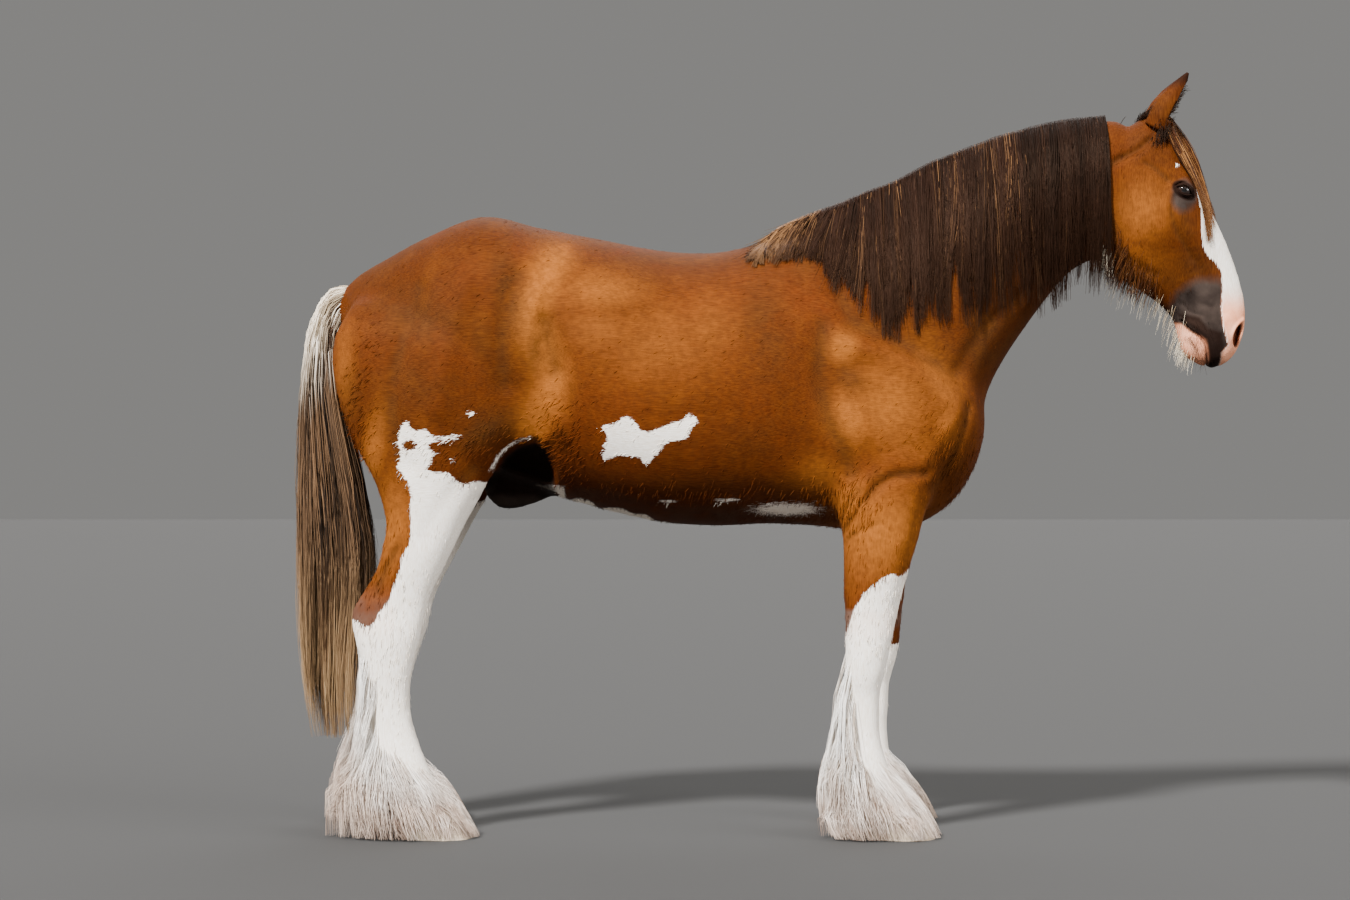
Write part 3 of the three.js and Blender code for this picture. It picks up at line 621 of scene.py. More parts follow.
# Creases round the lids, in the eye's own turned frame: points, half width and rise.
EYE_CREASES = [
    ([[-30, 2], [-20, 15], [-4, 21.5], [12, 19], [24, 8], [31, -4]], 2.8, -4.2),
    ([[-30, 8.5], [-20, 21.5], [-4, 28], [12, 25.5], [24, 14.5], [31, 2.5]], 5, 3.0),
    ([[-27, -5], [-15, -17], [2, -20], [20, -14], [30, -6]], 3.2, -1.6),
]
level += relief(EYE_CREASES, u, v) * outer
points[:, 1] = np.sign(y) * level
set_points(skin.data, points * MM)

# Ears: each a leaf rolled into a cup, open forwards and outwards, fused to the skull behind the forelock.
EAR = {
    "root": [1116, 54, 2036],
    "tip": [1203, 78, 2196],
    "opening": [1, 0.12, -0.3],
    "widths": [[0, 30], [0.2, 32], [0.45, 29], [0.7, 20], [0.9, 9], [1, 3]],
    "depth": 1.25,
    "bow": 8,
    "wall": 3.5,
    "shift": 0.7,
}


def leaf(side, inset, shift, start, end):
    """The surface of an ear's outside, or of its cup when it is inset and shifted."""
    mirror = np.array([1, side, 1])
    root, tip = np.array(EAR["root"]) * mirror, np.array(EAR["tip"]) * mirror
    axis = (tip - root) / np.linalg.norm(tip - root)
    opening = np.array(EAR["opening"]) * mirror
    opening = opening - opening @ axis * axis
    opening /= np.linalg.norm(opening)
    across = np.cross(axis, opening)
    bowed = (root + tip) / 2 - opening * EAR["bow"]

    def place(angle, t, radius=1.0, grow=0.0):
        t = (start + (end - start) * np.asarray(t, float))[..., None]
        wide = np.maximum(between(EAR["widths"], t) - inset, 2)
        spine = root * (1 - t) ** 2 + 2 * bowed * t * (1 - t) + tip * t**2
        sideways = across * wide * (np.sin(angle) * radius)[..., None]
        forward = opening * wide * ((np.cos(angle) * radius)[..., None] * EAR["depth"] + shift)
        return spine + sideways + forward

    return place


for side in (LEFT, RIGHT):
    outside = lofted("ear", leaf(side, 0, 0, 0, 1), 36, 34)
    cup = lofted("cup", leaf(side, EAR["wall"], EAR["shift"], 0.2, 0.93), 30, 30)
    apply(outside, "BOOLEAN", operation="DIFFERENCE", object=cup, solver="EXACT")
    bpy.data.objects.remove(cup)
    apply(skin, "BOOLEAN", operation="UNION", object=outside, solver="EXACT")
    bpy.data.objects.remove(outside)

# Lid margins: a soft round edge of dark skin along each lid, set on the eyeball.
LID_EDGE = 2.3  # half the margin's thickness
LID_STEPS = 64
TORUS_TUBE = 0.25  # the tube's radius on the ring that each margin starts from


def lid_margin(side):
    """A ring laid along the edge of the lids."""
    angle = np.linspace(0, 2 * math.pi, LID_STEPS, endpoint=False)
    u = half * np.cos(angle)
    arch = 1 - (u / half) ** 2
    v = np.where(angle < math.pi, EYE["up"] * arch, -EYE["down"] * arch)
    c, s = math.cos(math.radians(EYE["turn"])), math.sin(math.radians(EYE["turn"]))
    y = side * eye_dome(EYE["radius"] + 2.6, np.hypot(u, v))
    centre = np.stack([EYE["x"] + u * c - v * s, y, EYE["z"] + v * c + u * s], 1)
    bpy.ops.object.select_all(action="DESELECT")
    bpy.ops.mesh.primitive_torus_add(
        major_segments=LID_STEPS, minor_segments=10, major_radius=1, minor_radius=TORUS_TUBE
    )
    x, y, z = points_of(bpy.context.object.data).T
    step = np.rint(np.arctan2(y, x) / (2 * math.pi) * LID_STEPS).astype(int) % LID_STEPS
    tangent = np.roll(centre, -1, 0) - np.roll(centre, 1, 0)
    tangent /= np.linalg.norm(tangent, axis=1, keepdims=True)
    out = centre - np.array([EYE["x"], side * EYE["y"], EYE["z"]])
    out /= np.linalg.norm(out, axis=1, keepdims=True)
    across = np.cross(out, tangent)[step] * (np.hypot(x, y) - 1)[:, None]
    return shaped("lid_margin", centre[step] + LID_EDGE / TORUS_TUBE * (across + out[step] * z[:, None]))


only(skin, *[lid_margin(side) for side in (LEFT, RIGHT)])
bpy.ops.object.join()

# Where the coat is white, pink, dark or golden, with its painted highlight and shade. Each outline is in the
# side view, in millimetres.
SIDE_PATCH = [
    [-490, 1166], [-481, 1174], [-462, 1177], [-447, 1180], [-433, 1194], [-419, 1199], [-405, 1197],
    [-397, 1185], [-389, 1177], [-377, 1157], [-344, 1157], [-324, 1166], [-301, 1177], [-279, 1183],
    [-259, 1188], [-245, 1205], [-231, 1202], [-214, 1185], [-231, 1169], [-240, 1155], [-245, 1138],
    [-268, 1132], [-301, 1129], [-315, 1115], [-324, 1098], [-341, 1084], [-355, 1065], [-372, 1067],
    [-380, 1084], [-408, 1087], [-436, 1090], [-459, 1084], [-484, 1073], [-490, 1090], [-476, 1104],
    [-487, 1115], [-470, 1132], [-476, 1149],
]
HIND_WHITE = [
    [-1035, 1186], [-1024, 1160], [-985, 1163], [-968, 1144], [-931, 1141], [-903, 1149], [-875, 1138],
    [-903, 1132], [-945, 1132], [-973, 1124], [-979, 1110], [-945, 1096], [-968, 1087], [-968, 1067],
    [-987, 1048], [-956, 1039], [-923, 1042], [-911, 1028], [-880, 1005], [-846, 1016], [-800, 1008],
    [-600, 1000], [-600, -50], [-1400, -50], [-1400, 640], [-1203, 622], [-1181, 616], [-1158, 599],
    [-1138, 611], [-1118, 645], [-1090, 684], [-1079, 724], [-1062, 764], [-1056, 803], [-1036, 835],
    [-1030, 877], [-1033, 940], [-1028, 979], [-1039, 1013], [-1062, 1047], [-1070, 1056], [-1059, 1073],
    [-1059, 1104], [-1067, 1118], [-1064, 1141], [-1059, 1161], [-1047, 1181],
]
FORE_WHITE = [
    [600, 790], [386, 770], [369, 750], [349, 745], [335, 756], [312, 745], [293, 733], [270, 716],
    [253, 697], [236, 671], [222, 643], [213, 615], [208, 586], [199, 566], [179, 561], [0, 561], [0, -50],
    [600, -50],
]
BLAZE = [
    [1172, 2040], [1180, 1985], [1210, 1930], [1219, 1872], [1231, 1828], [1236, 1785], [1242, 1727],
    [1248, 1689], [1262, 1666], [1286, 1649], [1303, 1620], [1306, 1568], [1303, 1510], [1306, 1466],
    [1315, 1437], [1323, 1408], [1303, 1388], [1302, 1300], [1500, 1300], [1500, 2040],
]
LOWER_LIP = [
    [1140, 1480], [1190, 1467], [1214, 1447], [1243, 1432], [1257, 1423], [1263, 1394], [1269, 1365],
    [1262, 1320], [1140, 1320],
]
MUZZLE_DARK = [
    [1305, 1660], [1318, 1560], [1310, 1470], [1318, 1429], [1322, 1409], [1305, 1388], [1302, 1345],
    [1270, 1345], [1262, 1409], [1258, 1429], [1241, 1438], [1221, 1446], [1197, 1467], [1150, 1500],
    [1180, 1560], [1240, 1610], [1280, 1650],
]
# Small islands: x, z, radius, and how far they are stretched along x and along z.
BROWN_ISLAND = [[-1030, 1118, 14, 1.5, 1]]
THIGH_FLECKS = [[-910, 1074, 7, 1, 1], [-857, 1208, 6, 2, 1]]
FACE_FLECKS = [[1170, 1928, 5, 1, 1], [965, 1664, 9, 0.7, 1], [985, 1690, 7, 1, 2]]
FAR_HIND_LOWER = 60  # the left hind leg's white ends this much lower, in millimetres
FAR_FORE_TOP = 515  # and the left foreleg's white ends at about this height
OUTSIDE = -200  # stands for well outside a marking


def islands(table, x, z):
    """How far inside the nearest of a table's islands each point lies, in millimetres."""
    rows = (radius - np.hypot((x - ix) / long, (z - iz) / high) for ix, iz, radius, long, high in table)
    return np.maximum.reduce([*rows])


def white_at(x, y, z):
    """How far inside the coat's white each point lies, in millimetres, less than 0 outside."""
    near = y < 0
    patch = np.where(near, inside_of(SIDE_PATCH, x, z), OUTSIDE)
    hind = inside_of(HIND_WHITE, x, np.where(near, z, z + FAR_HIND_LOWER))
    near_hind = np.maximum(np.minimum(hind, -islands(BROWN_ISLAND, x, z)), islands(THIGH_FLECKS, x, z))
    hind = np.where(x < -560, np.where(near, near_hind, hind), OUTSIDE)
    far_fore = FAR_FORE_TOP + 0.2 * (x - 330) + 0.5 * np.interp(2 * x + y, *RAGGED) - z
    fore = np.where(near, inside_of(FORE_WHITE, x, z), far_fore)
    fore = np.where((x > 0) & (x < 620), fore, OUTSIDE)
    face = np.where((z < 2032) & (np.abs(y) < 85), inside_of(BLAZE, x, z), OUTSIDE)
    face = np.where(head_zone(x, z) > 0.4, np.maximum(face, islands(FACE_FLECKS, x, z)), OUTSIDE)
    above = z - between(BELLY_LINE, x)
    belly = 8 - 22 * smooth(-370, -330, x) + 0.6 * np.interp(x, *RAGGED) - above
    belly = np.minimum.reduce([belly, above + 45, 45 - 0.5 * (x - 60) + above * (x > 60)])
    belly = np.where((x > -620) & (x < 230) & (z < 1060), belly, OUTSIDE)
    belly = np.maximum(belly, np.where(x < -560, 3 - distance_to(rounded(FLANK_EDGE), x, z), OUTSIDE))
    for streak_x, streak_z, long, high in BELLY_STREAKS:
        belly = np.maximum(belly, 7 - 7 * np.hypot((x - streak_x) / long, (z - streak_z) / high))
    dock = np.where(z > 1250, -1252 - 0.3 * (1560 - z) - x, OUTSIDE)
    return np.maximum.reduce([patch, hind, fore, face, belly, dock])


def markings(points):
    """The coat's markings and painted light at points, in millimetres: white is how far inside it, the rest
    are shares.
    """
    x, y, z = points.T
    out = np.abs(y)
    on_head = head_zone(x, z)
    above = z - between(BELLY_LINE, x)
    sheath = smooth(1075, 1020, z) * smooth(-900, -860, x) * smooth(-610, -640, x) * smooth(95, 65, out)
    white = np.where(sheath > 0.3, -50, white_at(x, y, z))
    roan = smooth(730, 640, z) * smooth(560, 600, z) * 0.7 * ((x < -1080) | ((x > 0) & (z < 650)))
    lip = smooth(-8, 4, inside_of(LOWER_LIP, x, z)) * on_head
    nose = smooth(1600, 1500, z) * smooth(-4, 6, inside_of(BLAZE, x, z)) * on_head
    # grey and black skin: the muzzle, round the eye and the sheath; painted shade deep in the groin;
    # and a little under the belly, partly grey skin and partly painted shade
    muzzle = smooth(-45, 25, inside_of(MUZZLE_DARK, x, z)) * smooth(1650, 1545, z) * on_head * (1 - lip)
    from_eye = np.hypot(x - EYE["x"], (z - EYE["z"] + 16) * 0.8)
    eye_ring = smooth(56, 22, from_eye) * smooth(40, 60, out) * on_head
    groin = smooth(2, 22, inside_of(GROIN, x, z)) * (out < 330)
    under = smooth(95, 40, above) * smooth(-640, -560, x) * smooth(190, 120, x) * (above > -60)
    dark = np.maximum.reduce([muzzle, 0.8 * eye_ring, sheath, roan, groin, 0.35 * under])
    # near black: lips, lids and the ears' front edges, and painted shade inside the nostrils, along the
    # mouth's line and deep in the groin
    lips = smooth(-6, 8, inside_of(BLACK_LIPS, x, z)) * on_head * 0.85
    slit = smooth(1.15, 0.75, nostril_at(points)) * smooth(15, 30, out) * on_head
    mouth = beside(MOUTH_LINE, 3.5, x, z) * on_head * 0.8
    u, v = in_eye(x, z)
    lid = smooth(1.15, 0.95, np.hypot(u / 37, (v + 0.1 * u) / 23)) * smooth(40, 60, out) * 0.9
    ear_front = smooth(8, 20, 0.88 * (x - 1116) - 0.478 * (z - 2036))
    ear = np.maximum(ear_front, smooth(2135, 2185, z)) * smooth(2055, 2075, z) * (out > 40)
    black_skin_and_shade = np.maximum.reduce([lips, slit, mouth, lid, groin * 0.9, ear * on_head * 0.9])
    # golden hair, with painted highlights where the muscles and the flank's fold face the light
    gold_and_highlight = np.maximum(washed(GOLD_AND_HIGHLIGHTS, x, z), 0.95 * beside(FLANK_GOLD_AND_HIGHLIGHT, 56, x, z))
    # painted shade low on the barrel, where it turns under
    low = 0.4 * smooth(1070, 985, z) * smooth(-700, -560, x) * smooth(240, 110, x)
    # the dark washes, and along the top line the bay's own darker back with painted shade against the top
    # light
    shade = np.maximum.reduce([low, washed(SHADED, x, z), 0.5 * beside(TOP_LINE, 75, x, z)])
    # painted shade in each deep fold
    for line, width, height in BODY_FOLDS + FOLDS:
        if height <= DEEP_FOLD:
            shade = np.maximum(shade, 0.65 * beside(line, 0.9 * width, x, z))
    upright = np.maximum(smooth(1000, 860, z), on_head)
    pink = np.maximum.reduce([lip, nose, 0.12 * roan])
    return dict(white=white * MM, pink=pink, dark=dark, gold_and_highlight=gold_and_highlight, shade=shade, upright=upright, black_skin_and_shade=black_skin_and_shade)


# Washes of a golden and of a dark tone in the brown, partly the coat's own and partly painted light:
# x, z, half width, half height, turn in degrees, share
# Golden washes: golden hair, and painted highlights where the muscles face the light.
GOLD_AND_HIGHLIGHTS = [
    [-494, 1556, 130, 60, 0, 0.6],
    [-494, 1440, 110, 70, 0, 0.4],
    [-1140, 1090, 36, 130, -12, 0.9],
    [-1085, 900, 80, 150, -8, 0.8],
    [212, 1189, 60, 90, 10, 0.95],
    [195, 1395, 42, 46, 0, 1.0],
    [130, 1030, 70, 60, 0, 0.8],
    [215, 950, 70, 70, 0, 0.9],
    [500, 1170, 60, 80, 0, 0.6],
    [310, 860, 170, 130, 0, 1.0],
    [353, 1150, 130, 70, -20, 0.5],
    [1070, 1790, 80, 100, -20, 0.7],
    [-190, 1450, 110, 100, 0, 0.3],
    [480, 1290, 60, 150, 25, 0.6],
    [320, 1230, 130, 130, 0, 0.75],
    [-330, 1400, 200, 130, 0, 0.35],
    [-1225, 1330, 34, 130, 0, 0.6],
    [1120, 1830, 60, 60, 0, 0.4],
    [1070, 1650, 90, 60, -35, 0.5],
]
# The flank fold's golden band: golden hair, and a painted highlight along the fold.
FLANK_GOLD_AND_HIGHLIGHT = [[-620, 1650], [-655, 1570], [-690, 1480], [-655, 1390], [-630, 1290], [-690, 1170]]
# Along the top line it is darker: the dark bay's own back, and painted shade against the top light.
TOP_LINE = [
    [-1160, 1640], [-1020, 1750], [-880, 1790], [-700, 1745], [-400, 1670], [100, 1650], [230, 1700],
    [600, 1990], [960, 2090], [1100, 2100],
]
# The dark line along each deep fold is painted shade.
DEEP_FOLD = -4  # a fold this deep or deeper has a dark line in the coat
# Dark washes: the bay's own darker places, and painted shade in hollows, creases and under the body.
SHADED = [
    [1235, 1640, 62, 55, 0, 0.75],
    [1080, 1990, 90, 46, -30, 0.4],
    [1192, 1770, 26, 80, 10, 0.5],
    [-753, 1556, 42, 140, 8, 0.85],
    [-1000, 1475, 150, 80, -15, 0.8],
    [-1010, 1290, 110, 100, 0, 0.5],
    [-832, 1420, 44, 90, 10, 0.55],
    [-812, 1160, 95, 48, 20, 0.9],
    [-675, 1386, 26, 66, 0, 0.7],
    [-1199, 1273, 36, 80, 0, 0.5],
    [-28, 1527, 46, 120, 5, 0.5],
    [-75, 1130, 150, 60, 0, 0.3],
    [205, 1306, 60, 36, -20, 0.75],
    [494, 1060, 60, 60, 20, 0.4],
    [353, 1033, 80, 15, 8, 0.8],
    [640, 1440, 110, 170, -45, 0.9],
    [700, 1600, 260, 110, 30, 0.45],
    [1165, 1590, 70, 40, -35, 0.45],
    [-28, 1480, 70, 160, 5, 0.6],
]
BELLY_STREAKS = [[-300, 958, 24, 4], [-130, 962, 32, 5], [40, 935, 90, 18]]
BELLY_LINE = [[-700, 987], [-501, 935], [-326, 894], [-165, 882], [127, 882], [270, 868]]
FLANK_EDGE = [[-804, 1052], [-778, 1094], [-735, 1127], [-690, 1141]]
BLACK_LIPS = [
    [1177, 1504], [1241, 1490], [1264, 1458], [1305, 1446], [1313, 1400], [1300, 1340], [1268, 1340],
    [1261, 1409], [1241, 1438], [1206, 1467],
]
draw = np.random.default_rng(2)
RAGGED = [np.cumsum(draw.uniform(12, 55, 40)) - 850, draw.normal(0, 13, 40)]  # the edge of the belly's white


def washed(table, x, z):
    """The strongest of a table's washes at x and z."""
    return np.maximum.reduce([*spots(table, x, z)])


def mark(piece, roots):
    """Writes the markings and painted light onto a piece, each point taking those of its root."""
    for name, values in markings(roots / MM).items():
        attribute = piece.data.attributes.get(name) or piece.data.attributes.new(name, "FLOAT", "POINT")
        attribute.data.foreach_set("value", values.astype(np.float32))


mark(skin, points_of(skin.data))

# Short bay coat: fine hair a centimetre long lying flat, glossy where it is groomed. The eye sees red-brown
# with golden and dark washes, partly painted highlight and painted shade, streaks along the lie of the hair,
# and markings whose edges break along the streaks.
coat, tree, shader = material(
    "short_bay_coat", Roughness=0.62, Specular_IOR_Level=0.08, Specular_Tint=linear("#b98a68")
)
place = add(tree, "TexCoord", output="Object")
MARKS = ("white", "pink", "dark", "gold_and_highlight", "shade", "upright", "black_skin_and_shade", "tone")
read = {name: add(tree, "Attribute", output="Fac", attribute_name=name) for name in MARKS}
# A streak of hair is this many mm across and twelve times as long; coarser than one hair, so that it shows.
STREAK = 2.6
ACROSS = 1000 / STREAK
ALONG = ACROSS / 12
lies = []
for scale in ((ALONG, ACROSS, ACROSS), (ACROSS, ACROSS, ALONG)):
    stretched = add(tree, "Mapping", {"Vector": place, "Scale": scale})
    lies.append(add(tree, "TexNoise", {"Vector": stretched, "Scale": 1.0, "Detail": 3.0, "Roughness": 0.55}))
streaks = add(tree, "MixRGB", [read["upright"], *lies])
patches, mottles, clumps = (
    add(tree, "TexNoise", {"Vector": place, "Scale": scale, "Detail": detail, "Roughness": 0.55})
    for scale, detail in ((3.2, 4.0), (14.0, 4.0), (55.0, 5.0))
)
# The brown with golden and dusky washes, partly painted highlight and shade; small clumps and streaks.
patchy = add(tree, "MapRange", [patches, 0.35, 0.65])
bay = add(tree, "MixRGB", [patchy, linear("#3f1905"), linear("#512209")])
dusky_and_shade = add(tree, "Math", [read["shade"], add(tree, "MapRange", [mottles, 0.2, 0.52])], operation="MULTIPLY")
for share, colour in (
    (add(tree, "MapRange", [read["gold_and_highlight"], 0, 1, 0, 0.85]), "#9b5a22"),
    (dusky_and_shade, "#35200f"),
    (add(tree, "MapRange", [clumps, 0.62, 0.38, 0, 0.3]), "#27110a"),
    (add(tree, "MapRange", [mottles, 0.5, 0.75, 0, 0.1]), "#99561b"),
):
    bay = add(tree, "MixRGB", [share, bay, linear(colour)])
between_hairs = add(tree, "MixRGB", [0.3, bay, linear("#1f0a03")])
on_hairs = add(tree, "MixRGB", [0.08, bay, linear("#b9702c")])
bay = add(tree, "MixRGB", [add(tree, "MapRange", [streaks, 0.3, 0.75]), between_hairs, on_hairs])
# Grey skin under thin hair, then the white hair, whose edge breaks along the streaks.
mottled = add(tree, "MapRange", [mottles, 0.3, 0.7])
grey = add(tree, "MixRGB", [mottled, linear("#1c1715"), linear("#3b322d")])
uneven = add(tree, "MapRange", [mottles, 0, 1, -0.35, 0.35])
sooty = add(tree, "Math", [read["dark"], uneven], operation="ADD")
bay = add(tree, "MixRGB", [add(tree, "MapRange", [sooty, 0.2, 0.8]), bay, grey])
broken = add(tree, "MapRange", [streaks, 0, 1, -0.011, 0.011])
edge = add(tree, "Math", [read["white"], broken], operation="ADD")
brushed = add(tree, "MapRange", [streaks, 0.3, 0.8])
cream = add(tree, "MixRGB", [brushed, linear("#dccfbe"), linear("#fdf9f2")])
coloured = add(tree, "MixRGB", [add(tree, "MapRange", [edge, -0.001, 0.002]), bay, cream])
rose = add(tree, "MixRGB", [mottled, linear("#c67c5a"), linear("#eba785")])
coloured = add(tree, "MixRGB", [read["pink"], coloured, rose])
coloured = add(tree, "MixRGB", [read["black_skin_and_shade"], coloured, linear("#160c09")])
# Each tuft over the skin is a little lighter than it; the skin itself has no tone.
lighter = add(tree, "MapRange", [read["tone"], 0, 1, 0, 0.22])
coloured = add(tree, "MixRGB", [lighter, coloured, linear("#f2c58c")], blend_type="SOFT_LIGHT")
tree.links.new(coloured, shader.inputs["Base Color"])
bump = add(tree, "Bump", {"Strength": 0.45, "Distance": 0.001, "Height": streaks})
tree.links.new(bump, shader.inputs["Normal"])

skin.data.materials.clear()
skin.data.materials.append(coat)
only(skin)
bpy.ops.object.shade_smooth()
skin.vertex_groups.clear()
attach(skin, "root")
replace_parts(skin, "torso", "neck", "head", "ear_left", "ear_right")
for limb in ("fore_left", "fore_right", "hind_left", "hind_right"):
    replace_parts(skin, f"{limb}_upper")

# Short tufts
# The coat's own hair where it breaks the body's outline: longer tufts at the elbow, the belly's edge, the
# flank's fold, the chest, the buttocks, the jaw and the fetlocks, and short ones along the edges of the
# white markings.
skin_tree = BVHTree.FromObject(skin, bpy.context.evaluated_depsgraph_get())
PATCH = 0.003  # a tuft's patch on the flat unwrap that the hair's colours are kept on
# Where each form of the body lies on that unwrap: u, v, width, height.
UNWRAP = {
    "torso": (0.0, 0.0, 0.5, 0.5),
    "neck": (0.5, 0.0, 0.25, 0.5),
    "head": (0.75, 0.0, 0.25, 0.5),
    "fore_left": (0.0, 0.5, 0.2, 0.5),
    "fore_right": (0.2, 0.5, 0.2, 0.5),
    "hind_left": (0.4, 0.5, 0.2, 0.5),
    "hind_right": (0.6, 0.5, 0.2, 0.5),
    "tail": (0.8, 0.5, 0.18, 0.48),
}


def unwrapped(name, angle, t):
    """Where the root at this angle and share along a form lies on the unwrap."""
    u, v, width, height = UNWRAP[name]
    turn = (np.asarray(angle) / (2 * math.pi)) % 1.0
    return np.stack([u + (width - 2 * PATCH) * turn, v + (height - 2 * PATCH) * np.asarray(t)], axis=-1)


def unwrapped_at(points):
    """Where roots anywhere on the skin, in millimetres, lie on the unwrap, by the nearest form."""
    x, y, z = points.T
    found = unwrapped("torso", np.arctan2(y, z - 1350), np.clip((x + 1300) / 1950, 0, 1))
    slant = np.clip((x - 20 + 0.7 * (z - 1200)) / 1500, 0, 1)
    spine = 1250 + 620 * slant
    on_neck = (x > 150) & (x - 0.8 * (1900 - z) > 150)
    found[on_neck] = unwrapped("neck", np.arctan2(y, z - spine), slant)[on_neck]
    on_head = head_zone(x, z) > 0.5
    found[on_head] = unwrapped("head", np.arctan2(y, x - 1180), np.clip((2200 - z) / 860, 0, 1))[on_head]
    for limb, middle, half_way in (("fore", 300, 1000), ("hind", -1050, 1150)):
        for word, side in SIDES:
            on_leg = (z < half_way) & (np.abs(x - middle) < 330) & (y * side > 60)
            angle = np.arctan2(y - side * 212, x - middle)
            found[on_leg] = unwrapped(f"{limb}_{word}", angle, np.clip(1 - z / half_way, 0, 1))[on_leg]
    return found


def curve(controls, shares):
    """Points at shares along the smooth curve through each row of controls (curve, control, xyz)."""
    ahead = 2 * controls[:, :1] - controls[:, 1:2]
    behind = 2 * controls[:, -1:] - controls[:, -2:-1]
    padded = np.concatenate([ahead, controls, behind], axis=1)
    place = np.asarray(shares) * (controls.shape[1] - 1)
    k = np.minimum(place.astype(int), controls.shape[1] - 2)
    w = (place - k)[None, :, None]
    a, b, c, d = (padded[:, k + i] for i in range(4))
    return b + 0.5 * w * (c - a + w * (2 * a - 5 * b + 4 * c - d + w * (3 * (b - c) + d - a)))


def strands(name, look, slot, paths, outward, width, thick, roots, tone, marked=False):
    """A piece of three-sided locks along paths (lock, point, xyz in metres), that fine to their tips."""
    count, rings = paths.shape[:2]
    tangent = np.gradient(paths, axis=1)
    tangent /= np.linalg.norm(tangent, axis=2, keepdims=True) + 1e-12
    flat = np.cross(outward, tangent)
    flat /= np.linalg.norm(flat, axis=2, keepdims=True) + 1e-12
    ridge = np.cross(tangent, flat)
    share = np.linspace(0, 1, rings + 1)[:-1]
    taper = np.minimum(0.55 + 2.0 * share, 1.0) * (1 - share**2)
    width = np.broadcast_to(np.asarray(width, float), (count,))[:, None] * taper
    thick = np.broadcast_to(np.asarray(thick, float), (count,))[:, None] * taper
    corners = np.empty((count, rings, 3, 3))
    for j, angle in enumerate((math.radians(90), math.radians(210), math.radians(330))):
        sideways = flat * (width * math.cos(angle) / 2)[..., None]
        corners[:, :, j] = paths + sideways + ridge * (thick * math.sin(angle) / 2)[..., None]
    tips = paths[:, -1] + tangent[:, -1] * (width[:, -1] * 1.5)[:, None]
    each = rings * 3 + 1
    points = np.concatenate([corners.reshape(count, -1, 3), tips[:, None]], axis=1).reshape(-1, 3)
    faces = [[0, 2, 1]]
    for i in range(rings - 1):
        for j in range(3):
            a, b = i * 3 + j, i * 3 + (j + 1) % 3
            faces += [[a, b, b + 3], [a, b + 3, a + 3]]
    last = (rings - 1) * 3
    faces += [[last + j, last + (j + 1) % 3, each - 1] for j in range(3)]
    faces = (np.array(faces)[None] + (np.arange(count) * each)[:, None, None]).reshape(-1, 3)
    mesh = bpy.data.meshes.new(name)
    mesh.vertices.add(len(points))
    mesh.vertices.foreach_set("co", points.astype(np.float32).ravel())
    mesh.loops.add(faces.size)
    mesh.loops.foreach_set("vertex_index", faces.astype(np.int32).ravel())
    mesh.polygons.add(len(faces))
    mesh.polygons.foreach_set("loop_start", np.arange(0, faces.size, 3, dtype=np.int32))
    mesh.polygons.foreach_set("use_smooth", np.ones(len(faces), bool))
    mesh.update(calc_edges=True)
    around = np.tile([0.0, 0.5, 1.0], rings).tolist() + [0.5]
    down = np.repeat(share, 3).tolist() + [1.0]
    own = np.stack([np.tile(around, count), np.tile(down, count)], 1)
    uv = (np.repeat(roots, each, 0) + PATCH * own)[faces.ravel()]
    mesh.uv_layers.new(name="OFBake").data.foreach_set("uv", uv.astype(np.float32).ravel())
    for word, values in (("tone", np.repeat(np.clip(tone, 0, 1), each)), ("down", np.tile(down, count))):
        mesh.attributes.new(word, "FLOAT", "POINT").data.foreach_set("value", values.astype(np.float32))
    mesh.materials.append(look)
    piece = bpy.data.objects.new(name, mesh)
    bpy.context.scene.collection.objects.link(piece)
    if marked:
        mark(piece, np.repeat(paths[:, 0], each, 0))
    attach(piece, "root")
    return piece


def lie_of(points):
    """The way the short coat lies: back over the body, down the legs and face, back under the jaw."""
    x, y, z = points.T
    on_leg = smooth(1150, 950, z)
    on_head = head_zone(x, z)
    on_neck = smooth(250, 600, x) * (1 - on_head)
    lie = np.stack([-np.ones_like(x), 0.15 * np.sign(y), np.full_like(x, -0.45)], axis=1)
    lie += on_neck[:, None] * np.array([0.3, 0, -0.9])
    lie = lie * (1 - on_leg)[:, None] + on_leg[:, None] * np.array([-0.25, 0, -1.0])
    face = np.stack([0.25 - 0.9 * smooth(1150, 1000, x), 0 * x, -0.9 + 0 * x], axis=1)
    lie = lie * (1 - on_head)[:, None] + face * on_head[:, None]
    return lie / np.linalg.norm(lie, axis=1, keepdims=True)


# Where the tufts stand: x, z, half width, half height, turn in degrees, share of the ground covered
TUFTED = [
    [-180, 985, 420, 34, 0, 0.4],
    [215, 960, 80, 70, 25, 1.0],
    [-600, 1150, 60, 120, 12, 0.8],
    [-860, 1130, 130, 60, 15, 0.6],
    [510, 1080, 90, 150, 20, 0.45],
    [-1190, 1150, 60, 240, -10, 0.6],
    [-1110, 760, 60, 220, 10, 0.5],
    [1040, 1640, 100, 46, -35, 1.0],
    [1190, 1520, 90, 70, -30, 0.45],
    [1000, 1960, 90, 40, 25, 0.5],
    [300, 640, 120, 160, 0, 0.35],
    [-1080, 560, 110, 200, 0, 0.35],
]


